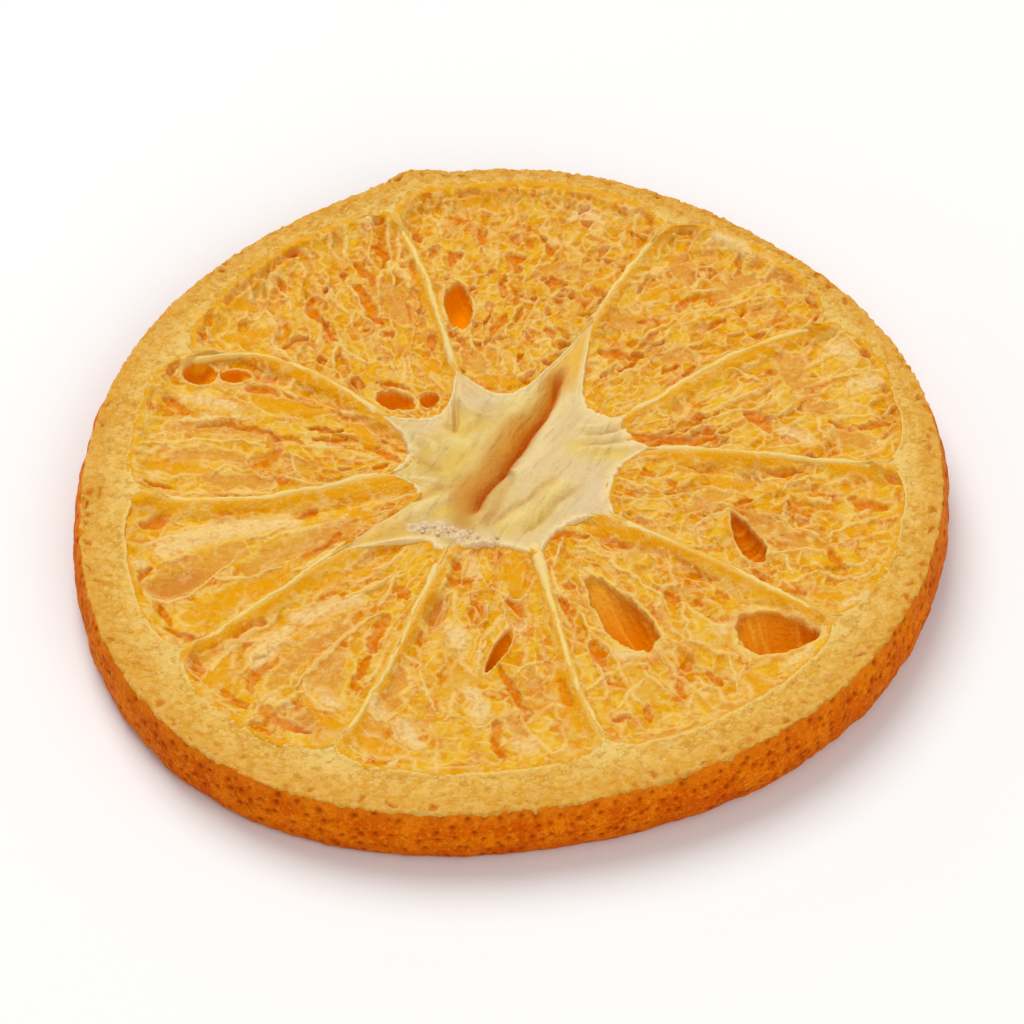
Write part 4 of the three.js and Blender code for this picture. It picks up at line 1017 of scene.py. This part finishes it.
def crumbs(material):
    """Loose white granules of pith along the core's front edge: small lumpy balls of random size and squash."""
    draw = np.random.default_rng(11)
    points, faces = ball(3, 6)
    line = bent_line(draw.uniform(0, 1, CRUMBS), CRUMB_LINE)
    line = line + draw.normal(0, 0.3, (CRUMBS, 2)) * (1.2, 0.9)
    bearing, distance = np.arctan2(line[:, 1], line[:, 0]), np.hypot(line[:, 0], line[:, 1])
    size = draw.uniform(0.07, 0.16, CRUMBS)
    height = top_height(bearing) - CORE_SINK - 0.1 + draw.normal(0, 0.05, CRUMBS)
    centre = place(bearing, distance, height)
    warp = draw.uniform(0.6, 1.35, (CRUMBS, len(points), 1))
    squash = draw.uniform(0.6, 1.3, (CRUMBS, 1, 3))
    lumps = centre[:, None] + points[None] * warp * squash * size[:, None, None]
    faces = (faces[None] + len(points) * np.arange(CRUMBS)[:, None, None]).reshape(-1, 3)
    return make_piece("core_crumbs", lumps.reshape(-1, 3), [faces], material)


# ---------------------------------------------------------------- rind

def rind_top(bearing, share, x, y):
    """The cut face of the rind: grains of broken glands, a raised inner lip and a slightly sunken middle."""
    gap, _, grain = cells(x, y, 0.34, 0.3, 601)
    bumps = 0.09 * (0.5 - grain) - 0.05 * bell(gap / 0.06)
    gland_gap, _, gland = cells(x, y, 0.8, 0.8, 611)
    pore = ease(gland, 0.5, 0.75) * bell((0.4 - np.minimum(gland_gap, 0.4)) / 0.16) * ease(share, 0.5, 0.8)
    lip = bell((share - 0.05) / 0.055) * (0.25 + 0.75 * ease(-np.sin(bearing), -0.5, 0.2))
    swell = 0.07 * rough(x / 3, y / 3, 621) + 0.05 * rough(x / 0.9, y / 0.9, 631)
    height = top_height(bearing) + swell + bumps + 0.05 * lip - 0.05 * bell((share - 0.4) / 0.25) - 0.16 * pore
    height = height - 0.12 * (1 - ease(share, 0, 0.03)) - 0.06 * ease(share, 0.96, 1)
    joins = np.abs(turned(bearing[..., None] - TO)).min(axis=-1) * RADIUS
    return height, {"lip": lip, "pore": pore, "grain": grain, "out": share,
                    "join": bell(joins / 1.5) * (1 - ease(share, 0.2, 0.6))}


def rind_ring(material):
    """The white of the rind: a closed ring, fine on top, from the pulp's border to the peel."""
    def layer(rows, columns, upper):
        share, bearing = polar_grid(rows, columns)
        jag = 0.1 * rough(bearing * 75, bearing * 0, 645, 3)
        inner, outer = rind_inner_radius(bearing), outline_radius(bearing) - (0.16 if upper else 0.55) + jag
        distance = inner + (outer - inner) * share
        x, y = distance * np.cos(bearing), distance * np.sin(bearing)
        if upper:
            height, marks = rind_top(bearing, share, x, y)
        else:
            fine = rough(x / 0.7, y / 0.7, 641, 3)
            height = 0.03 + 0.03 * (1 + fine) + 0.12 * (1 - ease(share, 0, 0.1))
            marks = {"lip": bell((share - 0.05) / 0.06), "grain": 0.5 + 0.5 * fine, "out": share}
        return place(bearing, distance, height), marks

    return slab("rind_white", layer, RIND_STEPS, material, wrap=True)


def skin_ring(material):
    """The coloured peel: a thin closed ring whose outer wall has oil gland pits and dry wrinkles.

    The section is a loop: up the outer wall with a bulge, over the top edge, down the inner wall, and back
    under. Round the slice it follows the outline.
    """
    whole = lambda count: np.linspace(0, 1, count)
    stretches = [whole(PEEL_WALL), whole(PEEL_OVER)[1:], whole(PEEL_DOWN)[1:], whole(PEEL_BACK)[1:-1]]
    rows = sum(len(stretch) for stretch in stretches)
    run, bearing = np.broadcast_arrays(np.concatenate(stretches)[:, None], polar_grid(1, PEEL_STEPS)[1])
    zone = np.repeat(range(4), [len(stretch) for stretch in stretches])[:, None] + 0 * run
    top = top_height(bearing) + 0.05 * rough(bearing * 40, bearing * 0, 701, 3)
    edge = outline_radius(bearing) + 0.13 * rough(bearing * 18, bearing * 0, 711, 4)
    girth = bearing * RADIUS

    low, high = 0.02, top - EDGE_ROUND
    rise = low + (high - low) * run
    rounding = 0.24 * bell(run / 0.07) + 0.05 * bell((1 - run) / 0.08)
    bulge = SIDE_BULGE * np.sin(math.pi * run) ** 0.8
    far, luck = dots(girth, rise, 0.8, 731)
    pit = bell(far / (0.1 + 0.09 * luck)) * ease(luck, 0.0, 0.5)
    crease = creased(girth / 1.1, rise / 5, 741, 3)
    crumple = hump(bearing, CRUMPLE_BEARING, CRUMPLE_SPREAD)
    wrinkle = (0.035 + 0.13 * crumple) * crease + 0.04 * rough(girth / 0.5, rise / 0.5, 751)
    wrinkle = wrinkle * np.sin(math.pi * np.clip(run, 0.04, 1))
    outer = edge - EDGE_ROUND * 0.5 + bulge - rounding + wrinkle - 0.11 * pit

    turn = run * math.pi * 0.5
    inner, lip_out = edge - SKIN, edge - EDGE_ROUND * 0.5 - 0.05
    over = lip_out - (SKIN - 0.05) * (1 - np.cos(turn)) * 0.9
    back = inner + (edge - EDGE_ROUND - 0.1 - inner) * run
    by_zone = lambda *parts: np.select([zone == 0, zone == 1, zone == 2], parts[:3], parts[3])
    distance = by_zone(outer, over, inner, back)
    height = by_zone(rise, high + (EDGE_ROUND - 0.1) * np.sin(turn), top - 0.1 + (low + 0.15 - top) * run,
                     low + 0.05 * (1 - run))
    last, first = np.arange(PEEL_STEPS) + (rows - 1) * PEEL_STEPS, np.arange(PEEL_STEPS)
    seam = np.stack([last, np.roll(last, -1), np.roll(first, -1), first], axis=-1)
    faces = [grid_faces(rows, PEEL_STEPS, 0, True, False), seam]
    marks = {"gland": np.where(zone == 0, pit, 0), "rise": np.where(zone == 0, run, 1),
             "side": by_zone(1, 1 - ease(run, 0.3, 0.7), 0, 1)}
    return make_piece("peel", place(bearing, distance, height).reshape(-1, 3), faces, material, marks)


# ---------------------------------------------------------------- materials

def tint(colour):
    """A screen colour of three numbers in 0..255 as linear light with full alpha."""
    line = lambda v: v / 12.92 if v <= 0.04045 else ((v + 0.055) / 1.055) ** 2.4
    return tuple(line(v / 255) for v in colour) + (1.0,)


class Value:
    """A number on a shader socket. Each operator adds the Math node for it."""

    def __init__(self, paint, socket):
        self.paint, self.socket = paint, socket

    def math(self, operation, first, second):
        node = self.paint.node("ShaderNodeMath", {"operation": operation}, {0: first, 1: second})
        return Value(self.paint, node.outputs[0])

    def __add__(self, other):
        return self.math("ADD", self, other)

    def __sub__(self, other):
        return self.math("SUBTRACT", self, other)

    def __rsub__(self, other):
        return self.math("SUBTRACT", other, self)

    def __mul__(self, other):
        return self.math("MULTIPLY", self, other)

    __radd__, __rmul__ = __add__, __mul__


class Paint:
    """One material and the few calls that its nodes are made with."""

    def __init__(self, name):
        self.material = bpy.data.materials.new(name)
        self.material.use_nodes = True
        self.tree = self.material.node_tree
        self.shader = self.tree.nodes["Principled BSDF"]
        place_in_m = self.node("ShaderNodeTexCoord").outputs["Object"]
        scaled = self.node("ShaderNodeVectorMath", {"operation": "SCALE"}, {0: place_in_m, "Scale": 1 / MM})
        self.in_mm = scaled.outputs["Vector"]

    def node(self, kind, settings=None, sockets=None):
        """Any node: its settings first, then a value or a link for each socket."""
        made = self.tree.nodes.new(kind)
        for key, value in (settings or {}).items():
            if key == "stops":
                self.stops(made.color_ramp, value)
            else:
                setattr(made, key, value)
        for key, value in (sockets or {}).items():
            self.put(made.inputs[key], value)
        return made

    def stops(self, ramp, stops):
        """Puts a screen colour at each position of a ramp."""
        while len(ramp.elements) < len(stops):
            ramp.elements.new(0.5)
        for element, (position, colour) in zip(ramp.elements, stops):
            element.position, element.color = position, tint(colour)

    def put(self, socket, value):
        """Links a socket, or sets it where the value is a constant."""
        value = value.socket if isinstance(value, Value) else value
        if isinstance(value, bpy.types.NodeSocket):
            self.tree.links.new(value, socket)
        else:
            socket.default_value = value

    def mark(self, name):
        """The piece's own attribute as a number."""
        return Value(self, self.node("ShaderNodeAttribute", {"attribute_name": name}).outputs["Fac"])

    def noise(self, size, detail=2.0, roughness=0.5):
        """Noise in 0..1 with features of a size in millimetres."""
        node = self.node("ShaderNodeTexNoise", None, {
            "Vector": self.in_mm, "Scale": 1 / size, "Detail": detail, "Roughness": roughness})
        return Value(self, node.outputs["Fac"])

    def pores(self, size):
        """Distance from the middle of the nearest of many small cells, 0 at the middle."""
        node = self.node("ShaderNodeTexVoronoi", None, {"Vector": self.in_mm, "Scale": 1 / size})
        return Value(self, node.outputs["Distance"])

    def ramp(self, value, stops):
        """Colour by a number, from stops of a position and a screen colour."""
        return self.node("ShaderNodeValToRGB", {"stops": stops}, {0: value}).outputs["Color"]

    def depth_in(self):
        """How far back a point lies, in millimetres."""
        return Value(self, self.node("ShaderNodeSeparateXYZ", None, {0: self.in_mm}).outputs["Y"])

    def step(self, value, low, high):
        """0 below low, 1 above high, eased between, or the other way round where low is the higher."""
        node = self.node("ShaderNodeMapRange", {"interpolation_type": "SMOOTHSTEP"},
                         {"Value": value, "From Min": low, "From Max": high})
        return Value(self, node.outputs["Result"])

    def blend(self, share, *colours):
        """Colour between two, each of them a socket or a screen colour."""
        first, second = (tint(c) if isinstance(c, tuple) else c for c in colours)
        return self.node("ShaderNodeMix", {"data_type": "RGBA"}, {0: share, 6: first, 7: second}).outputs[2]

    def coats(self, colour, *coats):
        """The colour with a row of coats laid over it in turn, each a share and a colour."""
        for share, coat in coats:
            colour = self.blend(share, colour, coat)
        return colour

    def bump(self, height, size):
        """A normal from a height in 0..1 that stands for a real height in millimetres."""
        return self.node("ShaderNodeBump", None, {"Height": height, "Distance": size * MM}).outputs["Normal"]

    def finish(self, colour, roughness, normal, soak=0.0, soak_depth=0.1, gloss=None):
        """Links the shader. Light soaks a share and a depth into dry, open tissue, which has a faint gloss."""
        sockets = {"Base Color": colour, "Roughness": roughness, "Normal": normal}
        if gloss is not None:
            sockets.update({"Subsurface Weight": soak, "Subsurface Scale": soak_depth * MM,
                            "Subsurface Radius": (1.0, 0.75, 0.4), "Specular IOR Level": gloss,
                            "Specular Tint": (1.0, 0.6, 0.12, 1.0)})
        for key, value in sockets.items():
            self.put(self.shader.inputs[key], value)
        return self.material


def pulp_finish():
    """Mottled from dark orange to pale yellow, with pale walls, frosty patches, dull films and bright orange burst
    sacs. Painted shade darkens sunk places and deeper cups, and painted highlight lightens fold crests and beads.
    The burst sacs are painted lighter towards the back and at their shallow ends.
    """
    paint = Paint("dried_pulp")
    noise, step, mark = paint.noise, paint.step, paint.mark
    patch, blotch, fleck, grit = noise(1.3, 3), noise(0.6, 3), noise(0.3, 3), noise(0.13, 2)
    pore = paint.pores(0.24)
    film, tone = mark("film"), mark("tone")
    # The mottle follows that lightness, so it carries its painted shade and painted highlight.
    mottle = paint.ramp(tone * 0.42 + patch * 0.5 + fleck * 0.28, [
        (0.42, (217, 113, 0)), (0.54, (222, 141, 0)), (0.66, (227, 160, 8)), (0.8, (236, 179, 40))])
    frost = step(noise(0.9, 4, 0.65), 0.52, 0.66) * 0.45 + mark("frost") * (step(fleck, 0.3, 0.6) * 0.6 + 0.4)
    # Burst sacs: painted light, lighter towards the back and at their shallow ends; lighter too on the rib crests.
    hole = paint.coats(paint.blend(step(paint.depth_in(), -2.0, 6.0), (222, 122, 0), (239, 142, 2)),
                       (step(mark("ribs"), 0.5, 0.95) * 0.6, (236, 162, 40)), (tone * 0.9, (234, 168, 50)))
    colour = paint.coats(
        mottle,
        (step(blotch, 0.5, 0.62) * 0.65, (233, 187, 94)),
        (step(film, 0.0, 1.0) * 0.6, (223, 165, 72)),
        (step(film, 1.0, 1.6) * 0.75, (203, 138, 60)),
        ((1.0 - mark("open")) * 0.9, (232, 161, 12)),
        (frost * 0.9, (239, 203, 137)),
        (step(grit, 0.57, 0.75) * 0.3, (244, 208, 130)),
        (step(pore, 0.25, 0.0) * 0.25, (214, 124, 0)),
        # Painted shade: sunk places are coloured a darker orange.
        (mark("deep") * 0.88, (224, 123, 0)),
        (mark("wall") * 0.78, (245, 208, 122)),
        (step(mark("pit"), 0.0, 0.6), hole))
    rough_part = 0.66 - step(patch, 0.5, 0.8) * 0.14
    return paint.finish(colour, rough_part, paint.bump(fleck + grit * 0.7 + pore * 0.8, 0.07), 0.3, 0.25, 0.0)


def membrane_finish():
    """A pale crest on a clear orange-yellow wall, cream where it leaves the pith."""
    paint = Paint("dry_membrane")
    step, fleck = paint.step, paint.noise(0.35, 3)
    colour = paint.coats(
        (230, 158, 14),
        (step(paint.mark("crest"), 0.86, 0.95), (243, 210, 122)),
        (step(fleck, 0.45, 0.75) * 0.3, (236, 180, 66)),
        (step(paint.mark("inner"), 0.45, 0.92) * 0.9, (238, 208, 136)))
    return paint.finish(colour, 0.55, paint.bump(fleck, 0.04), gloss=0.06)


def core_finish():
    """Cream pith with patches of colour and a pale rim. Painted highlight lightens the ridges and the side right
    of the tear. Painted shade darkens the creases, the tear's left bank from light brown high up to dark orange at
    its bottom, and its front end.
    """
    paint = Paint("dry_pith")
    noise, step, mark = paint.noise, paint.step, paint.mark
    cloud, fleck, grit, blotch = noise(1.5, 3), noise(0.25, 3), noise(0.12, 2), noise(0.7, 3)
    side, strand = mark("side"), step(mark("strand"), 0.0, 0.8)
    # Painted shade down the tear's left bank: light brown high up to dark orange at its bottom, browner still at
    # the front end.
    bank = paint.ramp(side * 0.25 + 0.2, [
        (0.03, (221, 184, 122)), (0.1, (214, 162, 92)), (0.15, (208, 134, 52)), (0.2, (208, 96, 0)),
        (0.26, (208, 112, 6)), (0.36, (208, 132, 40)), (0.46, (211, 148, 58)), (0.62, (216, 165, 82)),
        (0.78, (223, 182, 100))])
    bank = paint.blend((1.0 - step(paint.depth_in(), 0.0, 5.0)) * 0.3, bank, (196, 134, 62))
    # Where the painted shade of the tear lies.
    painted_tear_shade = mark("tear") * step(side, -0.8, -0.2) * step(side, 2.7, 1.3)
    colour = paint.coats(
        (213, 178, 110),
        (step(cloud, 0.35, 0.7), (222, 186, 92)),
        # Painted highlight: the side right of the tear, which faces the light, is paler.
        (step(side * -1.0, 0.3, 1.5) * 0.75, (228, 202, 150)),
        (step(blotch, 0.48, 0.62) * 0.45, (232, 206, 148)),
        (mark("yellow") * 0.85, paint.blend(blotch, (221, 179, 72), (234, 203, 104))),
        (mark("grey") * 0.75, (226, 199, 156)),
        # Painted shade: brownish patches at the lower end of the tear and along creases.
        (mark("tan") * 0.8, (198, 143, 60)),
        (mark("orange") * 0.85, (232, 166, 50)),
        # Painted highlight on the ridges and painted shade in the creases.
        (mark("ridge") * 0.6, (238, 214, 148)),
        (mark("crease") * 0.6, (214, 170, 90)),
        (strand * 0.3, (216, 176, 100)),
        (step(mark("reach"), 6.5, 10.0) * 0.7, (233, 182, 72)),
        # Painted shade on the tear's left bank, and dark orange painted shade at the bottom of the tear.
        (painted_tear_shade * 0.95, bank),
        (step(mark("valley"), 0.78, 0.98), (210, 96, 2)),
        (step(mark("rim"), 0.84, 0.95) * 0.8, (243, 218, 160)),
        (step(mark("crumb"), 0.05, 0.7) * 0.85, (234, 206, 164)))
    return paint.finish(colour, 0.7, paint.bump(fleck + strand * 0.5 + grit * 0.5, 0.07), 0.2, 0.2, 0.06)


def crumb_finish():
    """Off-white, browner in small flecks."""
    paint = Paint("pith_crumbs")
    fleck = paint.noise(0.15, 2)
    colour = paint.blend(fleck, (238, 212, 176), (230, 194, 146))
    return paint.finish(colour, 0.6, paint.bump(fleck, 0.03), gloss=0.12)


def rind_finish():
    """Tan yellow grains, paler at the inner lip and by the membranes, with brown orange pores by the peel."""
    paint = Paint("cut_rind")
    noise, step, mark = paint.noise, paint.step, paint.mark
    cloud, fleck, grit, out = noise(3.0, 3), noise(0.6, 4, 0.65), noise(0.2, 2), mark("out")
    colour = paint.coats(
        (223, 163, 54),
        (step(cloud, 0.35, 0.65), (232, 178, 74)),
        (step(noise(0.8, 3), 0.5, 0.62) * 0.35, (242, 206, 132)),
        (mark("join") * 0.8, (240, 208, 124)),
        (step(mark("grain"), 0.2, 1.0) * 0.6, (240, 200, 110)),
        (step(fleck, 0.5, 0.62) * 0.6, (210, 141, 40)),
        (step(grit, 0.52, 0.7) * 0.5, (242, 208, 130)),
        (step(out, 0.3, 0.8) * 0.4, (221, 154, 52)),
        (mark("lip") * 0.75, (244, 208, 120)),
        (mark("pore") * 0.8, (206, 112, 10)),
        # Painted shade: the rind's inner wall, which lies in shade, is coloured a warm orange.
        (step(out, 0.035, 0.0), (240, 160, 20)))
    return paint.finish(colour, 0.75, paint.bump(fleck + grit, 0.12), 0.2, 0.2, 0.05)


def skin_finish():
    """Rich orange peel, darker in the oil glands, brighter on its grains and paler on its cut edge; painted shade
    darkens it low down and a painted highlight brightens the outer wall near the top.
    """
    paint = Paint("orange_peel")
    noise, step, mark = paint.noise, paint.step, paint.mark
    cloud, fleck, grit, rise = noise(2.2, 3), noise(0.34, 3), noise(0.18, 2), mark("rise")
    colour = paint.coats(
        (240, 126, 4),
        (step(cloud, 0.35, 0.65), (222, 98, 0)),
        (step(noise(0.8, 3), 0.45, 0.65) * 0.5, (198, 76, 0)),
        (step(fleck, 0.5, 0.66) * 0.6, (242, 146, 28)),
        (step(grit, 0.5, 0.66) * 0.5, (180, 60, 0)),
        # Painted shade darkens the peel low down and a painted highlight brightens it towards the top edge.
        (step(rise, 0.55, 0.0) * 0.45, (186, 64, 0)),
        (step(rise, 0.7, 1.0) * 0.45, (240, 136, 22)),
        (mark("gland") * 0.85, (150, 44, 0)),
        (1.0 - mark("side"), (219, 142, 40)))
    return paint.finish(colour, 0.6, paint.bump(fleck + grit, 0.09), 0.2, 0.2, 0.03)


# ---------------------------------------------------------------- stage

def plain_floor():
    """A pale level square that reaches out of view."""
    mesh = bpy.data.meshes.new("floor")
    reach = 1.5
    mesh.from_pydata([(-reach, -reach, 0), (reach, -reach, 0), (reach, reach, 0), (-reach, reach, 0)], [],
                     [(0, 1, 2, 3)])
    paint = Paint("pale_floor")
    cloud = paint.noise(60, 2)
    colour = paint.blend(cloud, (243, 243, 242), (247, 247, 246))
    mesh.materials.append(paint.finish(colour, 0.6, paint.bump(cloud, 0.01)))
    floor = bpy.data.objects.new("floor", mesh)
    bpy.context.collection.objects.link(floor)


def look_at(eye, target):
    """The turn that points a camera or a light from the eye to the target."""
    return (Vector(target) - Vector(eye)).to_track_quat("-Z", "Y").to_euler()


def soft_box(name, place_at, size, power):
    """A round lamp of a size in metres that faces the slice."""
    light = bpy.data.lights.new(name, "AREA")
    light.shape, light.size, light.energy = "DISK", size, power
    box = bpy.data.objects.new(name, light)
    box.location, box.rotation_euler = place_at, look_at(place_at, (0, 0, 0))
    bpy.context.collection.objects.link(box)


def studio():
    """One lamp behind the slice and a larger, weaker one in front, in an even white surround."""
    soft_box("key", (-0.25, 0.55, 0.85), 0.7, 6.7)
    soft_box("fill", (0.35, -0.75, 0.7), 0.9, 3.5)
    world = bpy.data.worlds.new("studio")
    world.use_nodes = True
    around = world.node_tree.nodes["Background"].inputs
    around["Color"].default_value, around["Strength"].default_value = (1, 1, 1, 1), 0.44
    scene = bpy.context.scene
    scene.world = world
    scene.view_settings.view_transform = "Standard"
    scene.view_settings.look = "None"


def camera():
    """Looks down on the slice from the front, 48.2 degrees above its face, from far off."""
    height, away, seen, film_width = math.radians(48.2), 0.85, 0.0612, 36
    data = bpy.data.cameras.new("camera")
    data.sensor_width, data.lens = film_width, film_width * away / seen
    data.clip_start, data.clip_end = 0.05, 10
    eye_piece = bpy.data.objects.new("camera", data)
    target = (0, 0, 0.0016)
    eye_piece.location = (0, -away * math.cos(height), away * math.sin(height) + target[2])
    eye_piece.rotation_euler = look_at(eye_piece.location, target)
    bpy.context.collection.objects.link(eye_piece)
    bpy.context.scene.camera = eye_piece


camera()
studio()
plain_floor()
pulp_material = pulp_finish()
for wedge in range(WEDGES):
    pulp_wedge(wedge, pulp_material)
membrane_walls(membrane_finish())
core_star(core_finish())
crumbs(crumb_finish())
rind_ring(rind_finish())
skin_ring(skin_finish())
